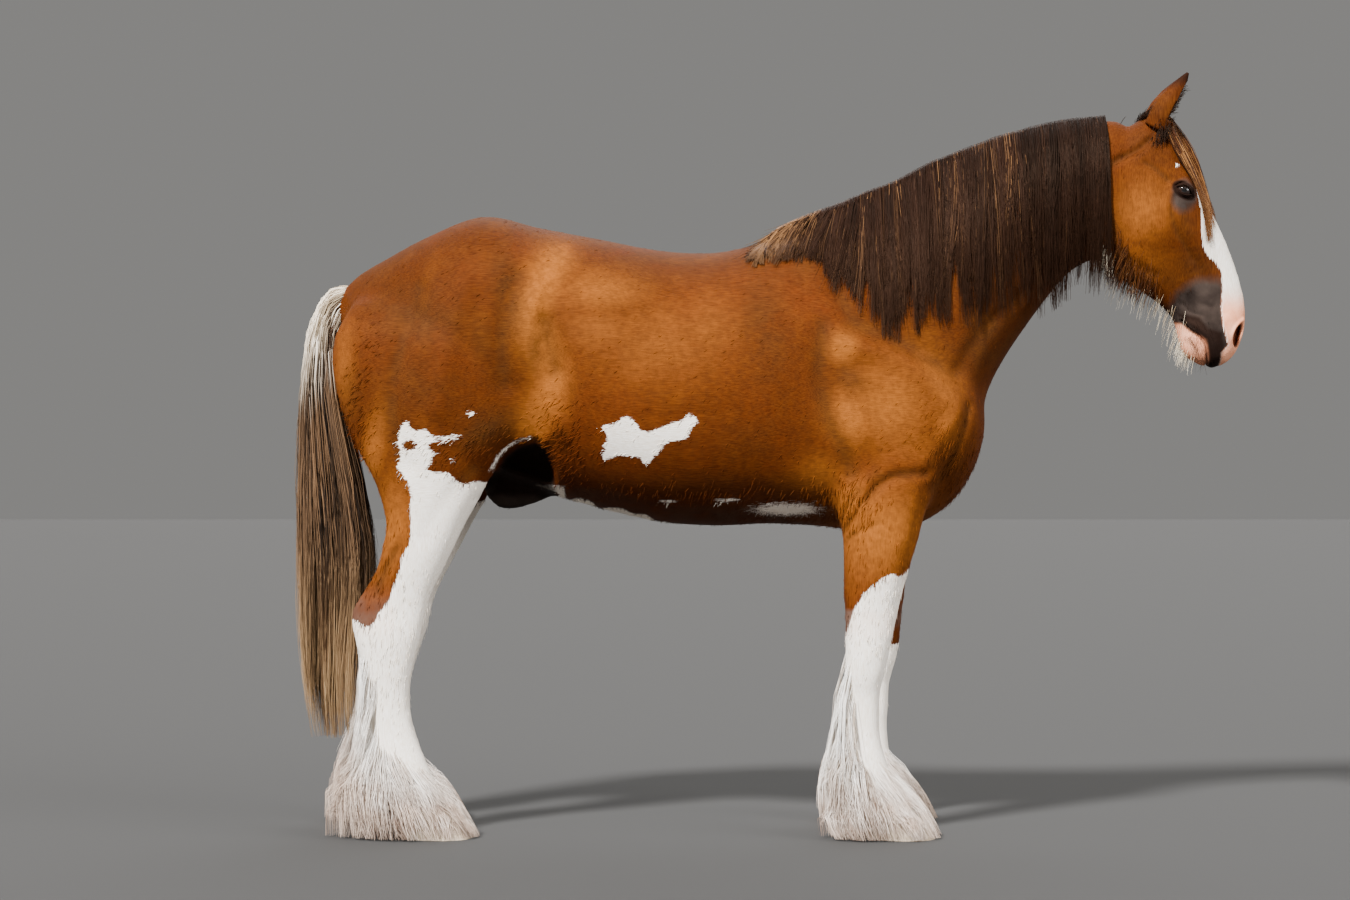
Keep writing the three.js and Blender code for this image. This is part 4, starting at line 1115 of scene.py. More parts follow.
def on_skin(draw, count, share_of):
    """Random places on the skin, thinned to share_of(points), as points in millimetres and normals."""
    mesh = skin.data
    mesh.calc_loop_triangles()
    corners = np.empty(len(mesh.loop_triangles) * 3, np.int32)
    mesh.loop_triangles.foreach_get("vertices", corners)
    points = points_of(mesh)[corners].reshape(-1, 3, 3) / MM
    normal = np.cross(points[:, 1] - points[:, 0], points[:, 2] - points[:, 0])
    area = np.linalg.norm(normal, axis=1)
    chance = area * share_of(points.mean(axis=1))
    chosen = draw.choice(len(area), count, p=chance / chance.sum())
    a, b = draw.uniform(0, 1, (2, count))
    over = a + b > 1
    a[over], b[over] = 1 - a[over], 1 - b[over]
    first, second, third = (points[chosen, i] for i in range(3))
    found = first + (second - first) * a[:, None] + (third - first) * b[:, None]
    return found, normal[chosen] / (area[chosen, None] + 1e-12)


def tufts(name, draw, places, normals, length, lift, width, tone):
    """Tufts of the coat on the skin: each lies along the coat and curves out of it."""
    lie = lie_of(places) + draw.normal(0, 0.16, places.shape)
    lie -= normals * np.sum(lie * normals, axis=1, keepdims=True)
    lie /= np.linalg.norm(lie, axis=1, keepdims=True) + 1e-9
    steps = np.array([0, 0.34, 0.68, 1.0])
    reach = length[:, None] * steps
    rise = -1.2 + (1.2 + lift[:, None] * steps) * np.minimum(steps * 2.5, 1)
    paths = places[:, None] + lie[:, None] * reach[..., None] + normals[:, None] * rise[..., None]
    paths[:, :, 2] -= length[:, None] * 0.12 * steps**2
    outward = np.repeat(normals[:, None], len(steps), axis=1)
    roots = unwrapped_at(places)
    strands(name, coat, "coat", paths * MM, outward, width * MM, TUFT_THICK, roots, tone, marked=True)


def tuft_share(points):
    x, y, z = points.T
    near_edge = np.exp(-((markings(points)["white"] / MM / 9) ** 2)) * (z < 1300)
    bare = (z > 1325) & (x > 1230) | (z < 90)
    eye = np.hypot(x - EYE["x"], z - EYE["z"]) < 40
    share = np.maximum(washed(TUFTED, x, z), 0.7 * near_edge)
    return np.where(bare | eye, 0, np.maximum(share, 0.03))


TUFTS = 5400
TUFT_THICK = 0.0009
for number, word in enumerate(("under", "over")):
    draw = np.random.default_rng(31 + number)
    places, normals = on_skin(draw, TUFTS, tuft_share)
    x, y, z = places.T
    finer = 1 - 0.35 * head_zone(x, z)
    long = (13 + 24 * washed(TUFTED, x, z)) * draw.uniform(0.6, 1.25, TUFTS) * finer
    lift = long * draw.uniform(0.02, 0.22, TUFTS)
    width = draw.uniform(1.4, 3.2, TUFTS) * finer
    tufts(f"coat_tufts_{word}", draw, places, normals, long, lift, width, draw.uniform(0, 1, TUFTS))

# Eyes
# Each eye is a ball of glass in its socket, as a taxidermist sets it: brown and fibrous round a wide black
# pupil that lies level, with a dark rim under the lids.
PUPIL_SCALE = (60, 60, 85)
for word, side in SIDES:
    bpy.ops.object.select_all(action="DESELECT")
    centre = (EYE["x"] * MM, side * EYE["y"] * MM, EYE["z"] * MM)
    radius = EYE["radius"] * MM
    bpy.ops.mesh.primitive_uv_sphere_add(segments=48, ring_count=32, radius=radius, location=centre)
    eye = bpy.context.object
    eye.name = f"eyeball_{word}"
    bpy.ops.object.transform_apply(location=True, rotation=True, scale=True)
    bpy.ops.object.shade_smooth()
    glass, tree, shader = material(f"wet_eye_{word}", Roughness=0.08, Coat_Weight=1.0, Coat_Roughness=0.02)
    place = add(tree, "TexCoord", output="Object")
    shift = [-c * s for c, s in zip(centre, PUPIL_SCALE)]
    local = add(tree, "Mapping", {"Vector": place, "Location": shift, "Scale": PUPIL_SCALE})
    flat = add(tree, "VectorMath", [local, (1, 0, 1)], operation="MULTIPLY")
    away = add(tree, "VectorMath", [flat], "Value", operation="LENGTH")
    fibres = add(tree, "TexNoise", {"Vector": place, "Scale": 900.0, "Detail": 3.0, "Roughness": 0.55})
    fibrous = add(tree, "MapRange", [fibres, 0.3, 0.7])
    iris = add(tree, "MixRGB", [fibrous, linear("#0e0705"), linear("#28140a")])
    rimmed = add(tree, "MixRGB", [add(tree, "MapRange", [away, 1.1, 1.35]), iris, linear("#1a120f")])
    seen = add(tree, "MixRGB", [add(tree, "MapRange", [away, 0.42, 0.55]), linear("#040303"), rimmed])
    tree.links.new(seen, shader.inputs["Base Color"])
    eye.data.materials.append(glass)
    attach(eye, "root")
    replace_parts(eye, f"eye_{word}")

# Hooves
# Each hoof is a horn wall that flares to the ground, pale as under white legs, with the rings it grew by.
# It is a solid block under the feather, on the sole that carries the horse.
# Slices as in the body's forms, from the coronet down.
FOREHOOF = [
    [396, 87.7, 246, 81.7, 68, 0.5, 215],
    [428, 45, 252, 42, 80, 0.45, 215],
    [459, 0, 262, 0, 92, 0.42, 215],
]
HINDHOOF = [
    [-910, 85.7, -1084, 79.7, 68, 0.5, 210],
    [-886, 45, -1076, 42, 78, 0.45, 210],
    [-861, 0, -1066, 0, 88, 0.42, 210],
]
horn, tree, shader = material("hoof_horn", Roughness=0.45)
stretched = add(tree, "Mapping", {"Vector": add(tree, "TexCoord", output="Object"), "Scale": (8, 8, 140)})
rings = add(tree, "TexNoise", {"Vector": stretched, "Scale": 1.0, "Detail": 3.0, "Roughness": 0.55})
ringed = add(tree, "MixRGB", [rings, linear("#8f7c66"), linear("#c9b79f")])
tree.links.new(ringed, shader.inputs["Base Color"])
bump = add(tree, "Bump", {"Strength": 0.6, "Distance": 0.001, "Height": rings})
tree.links.new(bump, shader.inputs["Normal"])
for word, side in SIDES:
    for limb, rows, lead in (("fore", FOREHOOF, FORE_LEAD), ("hind", HINDHOOF, HIND_LEAD)):
        hoof = lofted(f"horn_{limb}_{word}", form(rows, side, lead), 48, 16)
        hoof.data.materials.append(horn)
        bpy.ops.object.shade_smooth_by_angle(angle=math.radians(40))
        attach(hoof, "root")
        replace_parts(hoof, f"{limb}_{word}_hoof")

# Mane
# Long coarse hair rooted along the crest and combed to the right side, where it hangs in overlapping pointed
# locks. Each lock is a few dozen hairs that start apart and gather towards its middle.
CREST = [
    [-28, 1712], [25, 1750], [83, 1777], [142, 1800], [206, 1822], [258, 1846], [317, 1868], [375, 1892],
    [463, 1938], [550, 1973], [667, 2016], [784, 2048], [880, 2066], [972, 2077],
]
MANE_LENGTHS = [
    [-28, 75], [20, 105], [120, 140], [206, 225], [290, 350], [343, 425], [440, 440], [590, 465],
    [774, 495], [959, 465],
]
MANE_SWEEP = [[-28, 30], [80, 70], [200, 45], [300, 5], [400, 0]]
LOCKS = 150  # locks along the crest that the hairs gather into
HAIRS = 58  # hairs to a lock, each drawn thicker than a real one


def side_reach(side, xs, zs):
    """How far out the skin's side is at x and z, in millimetres, from rays across the horse on a grid."""
    reach = np.zeros((len(xs), len(zs)))
    for i, x in enumerate(xs):
        for j, z in enumerate(zs):
            hit = skin_tree.ray_cast(Vector((x * MM, side * 2.0, z * MM)), Vector((0, -side, 0)))[0]
            reach[i, j] = abs(hit.y) / MM if hit is not None else 0.0

    def at(x, z):
        u = np.clip((x - xs[0]) / (xs[1] - xs[0]), 0, len(xs) - 1.001)
        v = np.clip((z - zs[0]) / (zs[1] - zs[0]), 0, len(zs) - 1.001)
        i, j = u.astype(int), v.astype(int)
        u, v = u - i, v - j
        low = reach[i, j] * (1 - u) + reach[i + 1, j] * u
        high = reach[i, j + 1] * (1 - u) + reach[i + 1, j + 1] * u
        return low * (1 - v) + high * v

    return at


right_side = side_reach(RIGHT, np.arange(-260, 1160, 12), np.arange(1180, 2110, 12))
draw = np.random.default_rng(5)
lock = np.repeat(np.arange(LOCKS), HAIRS)
count = len(lock)
at = (np.arange(LOCKS) + draw.uniform(0, 1, LOCKS)) / LOCKS
t = np.clip(at[lock] + draw.normal(0, 0.009, count), 0, 1)
x0, z0 = along(CREST, t).T
middle = along(CREST, at)[lock, 0]
length = between(MANE_LENGTHS, x0) * draw.uniform(0.72, 1.1, LOCKS)[lock]
length *= np.clip(1.05 - draw.exponential(0.15, count), 0.35, 1.1)
sweep = between(MANE_SWEEP, x0)
lean = draw.normal(0, 16, LOCKS)[lock]
gather = draw.uniform(0.2, 0.95, LOCKS)[lock]
wave, phase = draw.normal(0, 4, LOCKS)[lock], draw.uniform(0, 6.28, LOCKS)[lock]
own_wave, own_phase = draw.normal(0, 2.2, count), draw.uniform(0, 6.28, count)
stray = draw.normal(0, 5, count) + (draw.uniform(0, 1, count) < 0.05) * draw.normal(0, 30, count)
layer = draw.uniform(3, 26, LOCKS)[lock] + draw.uniform(-3, 5, count)
falls = [0.035, 0.11, 0.25, 0.42, 0.6, 0.8, 1.0]
controls = np.zeros((count, len(falls) + 2, 3))
controls[:, 0] = np.stack([x0, draw.uniform(2, 16, count), z0 - 18], 1)
controls[:, 1] = np.stack([x0, draw.uniform(-8, 3, count), z0 + 1 + 0.28 * layer], 1)
held = np.full(count, 14.0)
for k, s in enumerate(falls):
    swing = wave * np.sin(phase + 6 * s) + own_wave * np.sin(own_phase + 10 * s)
    x = x0 + (middle - x0) * gather * s**0.8 - sweep * s * (1.25 - 0.25 * s)
    x = x + lean * s * s + (swing + stray * s) * s
    z = z0 - length * s
    own = right_side(x, z)
    held = np.maximum(held, own) * 0.8 + np.maximum(own, 18) * 0.2
    out = held + layer * (1 - 0.35 * s) * min(1.0, 0.45 + 3 * s)
    controls[:, k + 2] = np.stack([x, -out, z], 1)
paths = curve(controls, [0, 0.11, 0.2, 0.32, 0.46, 0.62, 0.8, 1.0]) * MM
outward = np.zeros_like(paths)
outward[:, :, 1] = -1
outward[:, :2, 2] = 1.5
tone = draw.normal(0.27, 0.14, LOCKS)[lock] + draw.normal(0, 0.1, count) + 0.48 * smooth(250, 20, x0)
tone -= 0.2 * smooth(750, 950, x0)
tone += (draw.uniform(0, 1, count) < 0.06) * draw.uniform(0, 0.5, count)
roots = unwrapped("neck", np.full(count, 0.2), t)
width = draw.uniform(1.9, 3.9, count) * MM


def hair(name, dark, middle, pale, tip, roughness):
    """Long horse hair: smooth keratin with a satin gloss, each lock its own tone, faded at its tips."""
    made, tree, shader = material(
        name, Roughness=roughness, Specular_IOR_Level=0.35, Specular_Tint=linear("#b08a70")
    )
    own = add(tree, "ValToRGB", [add(tree, "Attribute", output="Fac", attribute_name="tone")])
    rungs = own.node.color_ramp.elements
    rungs[0].color = linear(dark)
    rungs[1].color = linear(pale)
    rungs.new(0.5).color = linear(middle)
    down = add(tree, "Attribute", output="Fac", attribute_name="down")
    faded = add(tree, "MixRGB", [add(tree, "MapRange", [down, 0.55, 1.1]), own, linear(tip)])
    tree.links.new(faded, shader.inputs["Base Color"])
    return made


mane_hair = hair("dark_mane_hair", "#0d0705", "#23130c", "#8a6340", "#2c1a10", 0.5)
for number, word in enumerate(("rear", "middle", "front")):
    part = lock * 3 // LOCKS == number
    own = (paths[part], outward[part], width[part], 0.0013, roots[part], tone[part])
    strands(f"mane_{word}", mane_hair, "tail_hair", *own)

# Forelock and poll hair
# The mane's front end: brown hair with dark strands that falls between the ears and down the forehead,
# mostly to the right, and a dark tuft that stands behind each ear.
FORELOCK_HAIRS = 420  # each side of the forelock's parting
FORELOCK_LOCKS = 11
FORELOCK_FRONT = [
    [1125, 2084], [1150, 2088], [1190, 2040], [1230, 1976], [1256, 1902], [1275, 1844], [1290, 1786],
    [1296, 1713],
]
FORELOCK_BACK = [
    [1105, 2070], [1125, 2072], [1152, 2010], [1180, 1950], [1210, 1898], [1236, 1840], [1250, 1780],
    [1258, 1700],
]
draw = np.random.default_rng(6)
forelock_paths, forelock_tone = [], []
for side, spread, shortest in ((RIGHT, 1.0, 0.62), (LEFT, 0.75, 0.5)):
    face = side_reach(side, np.arange(1060, 1400, 8), np.arange(1640, 2120, 8))
    count = FORELOCK_HAIRS
    lock = draw.integers(0, FORELOCK_LOCKS, count)
    place_in = draw.uniform(0, 1, FORELOCK_LOCKS)[lock] * spread + draw.normal(0, 0.09, count)
    place_in = np.clip(place_in, -0.1, 1.1)[:, None]
    reach = shortest + (1 - shortest) * np.sqrt(draw.uniform(0, 1, FORELOCK_LOCKS))[lock] * np.clip(
        1.05 - draw.exponential(0.1, count), 0.4, 1.1
    )
    controls = np.zeros((count, 9, 3))
    layer = draw.uniform(3, 14, count)
    wave = draw.normal(0, 4, FORELOCK_LOCKS)[lock]
    phase = draw.uniform(0, 6.28, FORELOCK_LOCKS)[lock]
    for k, s in enumerate(np.linspace(0, 1, 9)):
        where = s * reach
        front, back = along(FORELOCK_FRONT, where), along(FORELOCK_BACK, where)
        flat = front + (back - front) * place_in
        flat[:, 0] += wave * np.sin(phase + 6 * s) * s + draw.normal(0, 1.0, count)
        out = np.maximum(face(flat[:, 0], flat[:, 1]), 16 * min(1, 3 * s)) + layer * min(1, 2 * s)
        controls[:, k] = np.stack([flat[:, 0], side * out, flat[:, 1]], 1)
    root_x = draw.uniform(1080, 1125, count)
    controls[:, 0] = np.stack([root_x, side * draw.uniform(0, 26, count), np.full(count, 2050.0)], 1)
    controls[:, 1, 1] = side * (4 + 22 * draw.uniform(0, 1, count))
    forelock_paths.append(curve(controls, np.linspace(0, 1, 10)))
    forelock_tone.append(draw.normal(0.5, 0.2, FORELOCK_LOCKS)[lock] + draw.normal(0, 0.2, count))
paths = np.concatenate(forelock_paths) * MM
outward = np.zeros_like(paths)
outward[:, :, 0] = 0.4
outward[:, :, 1] = np.sign(paths[:, 4:5, 1])
outward[:, :2, 2] = 1
count = len(paths)
roots = unwrapped("head", np.full(count, 0.1), draw.uniform(0, 0.1, count))
width = draw.uniform(1.5, 3.2, count) * MM
brown_hair = hair("brown_forelock_hair", "#150a05", "#4a2814", "#b07e48", "#7c5230", 0.5)
tone = np.concatenate(forelock_tone)
strands("forelock", brown_hair, "tail_hair", paths, outward, width, 0.001, roots, tone)


def wisps(
    name, look, draw, count, line, across, towards, length, width, tone=(0.1, 0.6), bend=0.35, lift=0.25
):
    """Free hairs strewn across a line on the skin, in millimetres, each out along the skin and over a way."""
    roots = along(line, draw.uniform(0, 1, count)) + draw.normal(0, 1, (count, 3)) * np.array(across)
    nearest = [skin_tree.find_nearest(Vector(root * MM)) for root in roots]
    starts = np.array([found[0] for found in nearest]) / MM
    normals = np.array([found[1] for found in nearest])
    way = np.array(towards) + draw.normal(0, 0.16, (count, 3))
    way -= normals * np.minimum(np.sum(way * normals, axis=1, keepdims=True), 0) * 0.9
    way /= np.linalg.norm(way, axis=1, keepdims=True)
    long = draw.uniform(*length, count)[:, None]
    controls = [starts - normals * 3, starts + normals * 1.5 + way * long * 0.15]
    for forth, off, hang in ((0.5, 0.5, 0.1), (0.8, 0.6, 0.35), (1.0, 0.6, 0.7)):
        drop = np.array([0, 0, -1.0]) * bend * hang
        controls.append(starts + (way * forth + normals * lift * off + drop) * long)
    paths = curve(np.stack(controls, axis=1), np.linspace(0, 1, 5)) * MM
    outward = np.repeat(normals[:, None], 5, axis=1)
    wide = draw.uniform(*width, count) * MM
    tones = draw.uniform(*tone, count)
    strands(name, look, "tail_hair", paths, outward, wide, wide.mean() * 0.6, unwrapped_at(starts), tones)


black_hair = hair("black_short_hair", "#0c0705", "#1c100a", "#4c2f1c", "#1c100a", 0.5)
draw = np.random.default_rng(7)
for word, side in SIDES:
    base = [[1146, 84 * side, 2052], [1140, 88 * side, 2030], [1122, 92 * side, 2008]]
    own = (draw, 120, base, (13, 5, 9), (-0.35, 0.15 * side, -0.9), (12, 34), (1.2, 2.4))
    wisps(f"ear_base_hair_{word}", black_hair, *own, lift=0.5)
    edge = [[1152, 62 * side, 2060], [1172, 70 * side, 2100], [1192, 76 * side, 2150]]
    own = (draw, 130, edge, (5, 8, 6), (0.55, 0, 0.35), (9, 22), (0.9, 1.8))
    wisps(f"ear_edge_hair_{word}", black_hair, *own, lift=0.3, bend=0.1)
poll = [[1062, 0, 2082], [1082, 0, 2084], [1102, 0, 2082]]
own = (draw, 320, poll, (10, 26, 4), (0.35, -0.25, 0.55), (16, 34), (1.2, 2.4))
wisps("poll_hair", black_hair, *own, lift=0.2, bend=0.4)

# Jaw, chin and muzzle hair
# Winter hair left long under the jaw: pale and soft along the throat and chin, darker and stiffer on the
# jaw's corner, with a few single bristles on the muzzle and lashes on the upper lids.
draw = np.random.default_rng(8)
pale_hair = hair("pale_beard_hair", "#8d7458", "#cdbb9c", "#efe6d2", "#efe6d2", 0.55)
jaw_hair = hair("brown_jaw_hair", "#1d0f07", "#3c1d0b", "#75481f", "#3c2010", 0.6)
UNDER_JAW = [
    [975, 0, 1650], [1000, 0, 1622], [1060, 0, 1585], [1120, 0, 1535], [1165, 0, 1490], [1185, 0, 1440],
]
own = (draw, 200, UNDER_JAW, (18, 26, 10), (-0.25, 0, -0.9), (14, 66), (0.5, 1.3))
wisps("beard", pale_hair, *own, tone=(0, 0.8))
CHIN = [[1185, 0, 1440], [1200, 0, 1395], [1215, 0, 1372]]
own = (draw, 80, CHIN, (5, 24, 8), (-0.3, 0, -0.9), (16, 42), (0.8, 1.7))
wisps("chin_hair", pale_hair, *own, tone=(0.1, 0.9))
for word, side in SIDES:
    corner = [
        [1010, 70 * side, 1700], [1000, 62 * side, 1655], [1040, 58 * side, 1622], [1095, 54 * side, 1590],
    ]
    own = (draw, 420, corner, (26, 6, 26), (-0.3, 0, -0.85), (20, 50), (0.8, 1.9))
    wisps(f"jaw_hair_{word}", jaw_hair, *own, tone=(0, 0.8), lift=0.35)
    throat = [[962, 60 * side, 1690], [985, 60 * side, 1645]]
    own = (draw, 60, throat, (7, 4, 14), (-0.3, 0, -0.9), (24, 46), (1.2, 2.4))
    wisps(f"jaw_white_hair_{word}", pale_hair, *own, tone=(0.7, 1))
    lips = [
        [1262, 45 * side, 1360], [1235, 52 * side, 1400], [1215, 55 * side, 1440], [1262, 60 * side, 1460],
    ]
    own = (draw, 130, lips, (12, 4, 16), (0.05, 0.3 * side, -0.5), (8, 26), (0.5, 0.8))
    wisps(f"muzzle_bristles_{word}", black_hair, *own, lift=0.9, bend=0.2)
    lashes = [[1172, 112 * side, 1868], [1186, 116 * side, 1868], [1202, 112 * side, 1860]]
    own = (draw, 60, lashes, (3, 1, 2), (0.15, 0.9 * side, -0.15), (12, 20), (0.6, 0.9))
    wisps(f"lashes_{word}", black_hair, *own, lift=0.2)

# Tail
# The dock is flesh down to a third of the tail. Long hair grows from all of it and hangs to below the hocks,
# cream at the root, dark in the middle and faded brown at the ragged ends.
TAIL = [
    [-1185, 1594, -1205, 1510, 40, 0.5, 0],
    [-1275, 1582, -1236, 1500, 56, 0.5, 0],
    [-1330, 1513, -1262, 1440, 68, 0.5, 0],
    [-1356, 1410, -1262, 1370, 80, 0.5, 0],
    [-1372, 1240, -1240, 1220, 92, 0.5, 0],
    [-1382, 1000, -1186, 1000, 102, 0.5, 0],
    [-1384, 780, -1152, 780, 104, 0.5, 0],
    [-1380, 560, -1170, 560, 92, 0.5, 0],
    [-1368, 400, -1186, 400, 80, 0.5, 0],
    [-1345, 255, -1192, 255, 64, 0.5, 0],
]
TAIL_LOCKS = 150
TAIL_HAIRS = 44
tail_form = form(TAIL)
draw = np.random.default_rng(11)
lock = np.repeat(np.arange(TAIL_LOCKS), TAIL_HAIRS)
count = len(lock)
own_angle = draw.uniform(0, 2 * math.pi, TAIL_LOCKS)[lock]
angle = own_angle + draw.normal(0, 0.2, count)
start = np.clip(0.01 + 0.36 * draw.uniform(0, 1, TAIL_LOCKS)[lock] + draw.normal(0, 0.012, count), 0, 0.4)
end = np.clip(draw.normal(0.76, 0.1, TAIL_LOCKS)[lock] + draw.normal(0, 0.06, count), 0.45, 0.99)
out = np.clip(draw.uniform(0.42, 0.98, TAIL_LOCKS)[lock] + draw.normal(0, 0.07, count), 0.2, 1)
gather = draw.uniform(0.1, 0.8, TAIL_LOCKS)[lock]
sway = draw.normal(0, 0.14, TAIL_LOCKS)[lock]
phase = draw.uniform(0, 6.28, TAIL_LOCKS)[lock]
own_phase = draw.uniform(0, 6.28, count)
wave = draw.normal(0, 5, TAIL_LOCKS)[lock]
own_wave = draw.normal(0, 2.5, count)
steps = np.array([0, 0.06, 0.16, 0.3, 0.46, 0.62, 0.78, 0.9, 1.0])
paths = np.zeros((count, len(steps), 3))
for k, s in enumerate(steps):
    turned = angle * (1 - gather * s) + own_angle * gather * s + sway * s
    radius = np.minimum(out, 0.55 + 3.5 * s)
    paths[:, k] = tail_form(turned, np.clip(start + (end - start) * s, 0, 1), radius)
    swing = (wave * np.sin(phase + 7 * s) + own_wave * np.sin(own_phase + 12 * s)) * min(1.0, 2 * s)
    paths[:, k, 0] += swing
    paths[:, k, 1] += 0.7 * swing
down_form = np.clip(start[:, None] + (end - start)[:, None] * steps, 0, 1)
outward = paths - tail_form(angle[:, None], down_form, 0.0)
outward[:, :, 2] *= 0.3
paths = paths * MM
tone = draw.normal(0.45, 0.2, TAIL_LOCKS)[lock] + draw.normal(0, 0.16, count)
roots = unwrapped("tail", angle, start)
width = draw.uniform(2.0, 4.2, count) * MM
# Coarse keratin, less glossy than the mane: dark, worn to fawn low down, cream above. The cream reaches
# lower on the tail's outer edge than on its inner one.
tail_hair, tree, shader = material("dark_tail_hair", Roughness=0.55, Specular_IOR_Level=0.2)
tone_of = add(tree, "Attribute", output="Fac", attribute_name="tone")
spot = add(tree, "SeparateXYZ", [add(tree, "TexCoord", output="Object")], "Z")
dark = add(tree, "MixRGB", [tone_of, linear("#1a110a"), linear("#7d5e42")])
faded = add(tree, "MixRGB", [tone_of, linear("#563a23"), linear("#b8966c")])
cream = add(tree, "MixRGB", [tone_of, linear("#c4ae8e"), linear("#fbf0de")])
worn = add(tree, "MixRGB", [add(tree, "MapRange", [spot, 0.85, 0.4]), dark, faded])
inward = add(tree, "Math", [spot.node.outputs["X"], 1.3], operation="ADD")
lit = add(tree, "Math", [inward, -1.3, spot], operation="MULTIPLY_ADD")
lit = add(tree, "Math", [tone_of, 0.18, lit], operation="MULTIPLY_ADD")
coloured = add(tree, "MixRGB", [add(tree, "MapRange", [lit, 1.38, 1.62]), worn, cream])
tree.links.new(coloured, shader.inputs["Base Color"])
for number, word in enumerate(("inner", "outer")):
    part = (out > np.median(out)) == bool(number)
    own = (paths[part], outward[part], width[part], 0.0014, roots[part], tone[part])
    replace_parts(strands(f"tail_{word}", tail_hair, "tail_hair", *own), "tail")

# Feather
# Long silky white hair grows from the knee and hock down the back and sides of each lower leg, and spreads
# over the hoof to the ground.
FOREFEATHER = [
    [338, 545, 188, 560, 62, 0.5, 215],
    [322, 415, 172, 430, 62, 0.5, 215],
    [322, 330, 164, 340, 66, 0.5, 215],
    [345, 230, 145, 240, 80, 0.5, 215],
    [388, 150, 125, 165, 106, 0.5, 215],
    [438, 85, 120, 85, 130, 0.5, 215],
    [484, 6, 130, 6, 138, 0.5, 215],
]
HINDFEATHER = [
    [-1000, 560, -1205, 580, 60, 0.5, 210],
    [-1022, 440, -1190, 450, 62, 0.5, 210],
    [-1020, 340, -1200, 350, 66, 0.5, 210],
    [-984, 240, -1225, 260, 82, 0.5, 210],
    [-936, 160, -1255, 180, 106, 0.5, 210],
    [-882, 85, -1275, 100, 128, 0.5, 210],
    [-836, 6, -1278, 6, 136, 0.5, 210],
]
FEATHER_LOCKS = 140
FEATHER_HAIRS = 19
# Silky white hair with little gloss, brown with dirt from the ground near it, and with painted shade
# at the back of the hind feet.
silk, tree, shader = material("white_feather_hair", Roughness=0.55, Specular_IOR_Level=0.2)
tone_of = add(tree, "Attribute", output="Fac", attribute_name="tone")
place = add(tree, "TexCoord", output="Object")
spot = add(tree, "SeparateXYZ", [place], "Z")
clean = add(tree, "MixRGB", [tone_of, linear("#b9a692"), linear("#fffdf8")])
stained_and_shaded = add(tree, "MixRGB", [tone_of, linear("#6f5547"), linear("#d8c2b0")])
patchy = add(tree, "TexNoise", {"Vector": place, "Scale": 16.0, "Detail": 3.0, "Roughness": 0.55})
patchy = add(tree, "MapRange", [patchy, 0, 1, -0.6, 0.6])
stain_and_shade = add(tree, "Math", [add(tree, "MapRange", [spot, 0.3, 0.02]), patchy], operation="ADD")
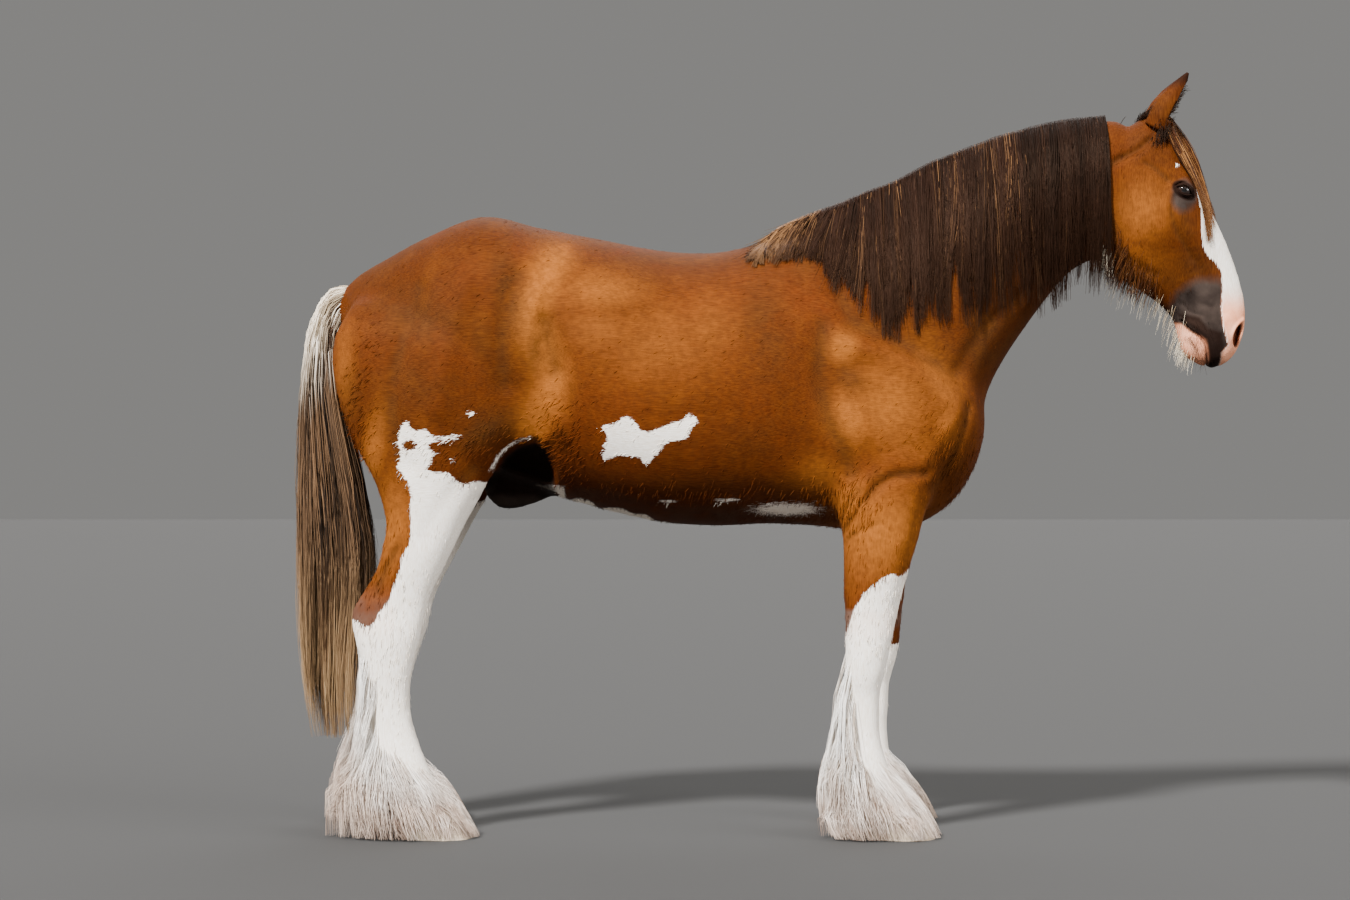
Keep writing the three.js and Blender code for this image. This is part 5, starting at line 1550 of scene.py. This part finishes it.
# painted shade at the back of the hind feet
behind = add(tree, "MapRange", [spot.node.outputs["X"], -1.12, -1.22, 0, 0.45])
stain_and_shade = add(tree, "Math", [stain_and_shade, behind], operation="ADD")
soiled_and_shaded = add(tree, "MixRGB", [add(tree, "MapRange", [stain_and_shade, 0.15, 0.95]), clean, stained_and_shaded])
tree.links.new(soiled_and_shaded, shader.inputs["Base Color"])
for word, side in SIDES:
    for limb, rows, lead in (("fore", FOREFEATHER, FORE_LEAD), ("hind", HINDFEATHER, HIND_LEAD)):
        draw = np.random.default_rng(21 + side + (limb == "fore") * 4)
        feather_form = form(rows, side, lead)
        lock = np.repeat(np.arange(FEATHER_LOCKS), FEATHER_HAIRS)
        count = len(lock)
        # The back of the leg is feathered from the knee, its sides from the fetlock, its front above the
        # hoof.
        low = draw.uniform(0, 1, FEATHER_LOCKS) < 0.62
        anywhere = draw.uniform(-math.pi, math.pi, FEATHER_LOCKS)
        turn = np.where(low, anywhere, draw.normal(0, 0.85, FEATHER_LOCKS))
        front = np.abs(np.remainder(turn + math.pi, 2 * math.pi) - math.pi) / math.pi
        at_back = np.where(low, 0.4, 0.03)
        at_front = np.where(low, 0.5, 0.72)
        first = at_back + (at_front - at_back) * smooth(0.12, 0.75, front)
        start = (first + (0.86 - first) * draw.uniform(0, 1, FEATHER_LOCKS) ** 1.4)[lock]
        start = start + draw.normal(0, 0.022, count)
        start = np.clip(start, 0, 0.9)
        reach = draw.uniform(0.26, 0.5, FEATHER_LOCKS)[lock]
        end = np.clip(start + reach + draw.normal(0, 0.04, count), 0, 1)
        own_angle = (math.pi + turn)[lock]
        angle = own_angle + draw.normal(0, 0.14, count)
        least = 0.58 + 0.34 * front
        out = (least + (1 - least) * draw.uniform(0, 1, FEATHER_LOCKS))[lock] + draw.normal(0, 0.03, count)
        out = np.clip(out, 0.5, 1)
        gather = draw.uniform(0.1, 0.75, FEATHER_LOCKS)[lock]
        bend = draw.normal(0, 0.13, FEATHER_LOCKS)[lock]
        phase = draw.uniform(0, 6.28, count)
        steps = np.array([0, 0.12, 0.32, 0.55, 0.8, 1.0])
        paths = np.zeros((count, len(steps), 3))
        for k, s in enumerate(steps):
            curl = bend * s * s + 0.02 * np.sin(phase + 8 * s)
            turned = angle * (1 - gather * s) + own_angle * gather * s + curl
            core = 0.5 + 0.25 * smooth(0.4, 0.0, start)
            radius = np.minimum(out, core + 0.9 * s)
            paths[:, k] = feather_form(turned, start + (end - start) * s, radius)
        paths = paths * MM
        paths[:, :, 2] = np.maximum(paths[:, :, 2], 0.003)
        down_form = start[:, None] + (end - start)[:, None] * steps
        outward = paths - feather_form(angle[:, None], down_form, 0.0) * MM
        outward[:, :, 2] = 0.02
        width = draw.uniform(1.6, 3.2, count) * MM
        tone = draw.normal(0.62, 0.22, FEATHER_LOCKS)[lock] + draw.normal(0, 0.2, count)
        roots = unwrapped(f"{limb}_{word}", angle, start)
        own = (paths, outward, width, 0.0012, roots, tone)
        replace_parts(strands(f"feather_{limb}_{word}", silk, "feather", *own), f"{limb}_{word}_lower")

bpy.context.view_layer.update()
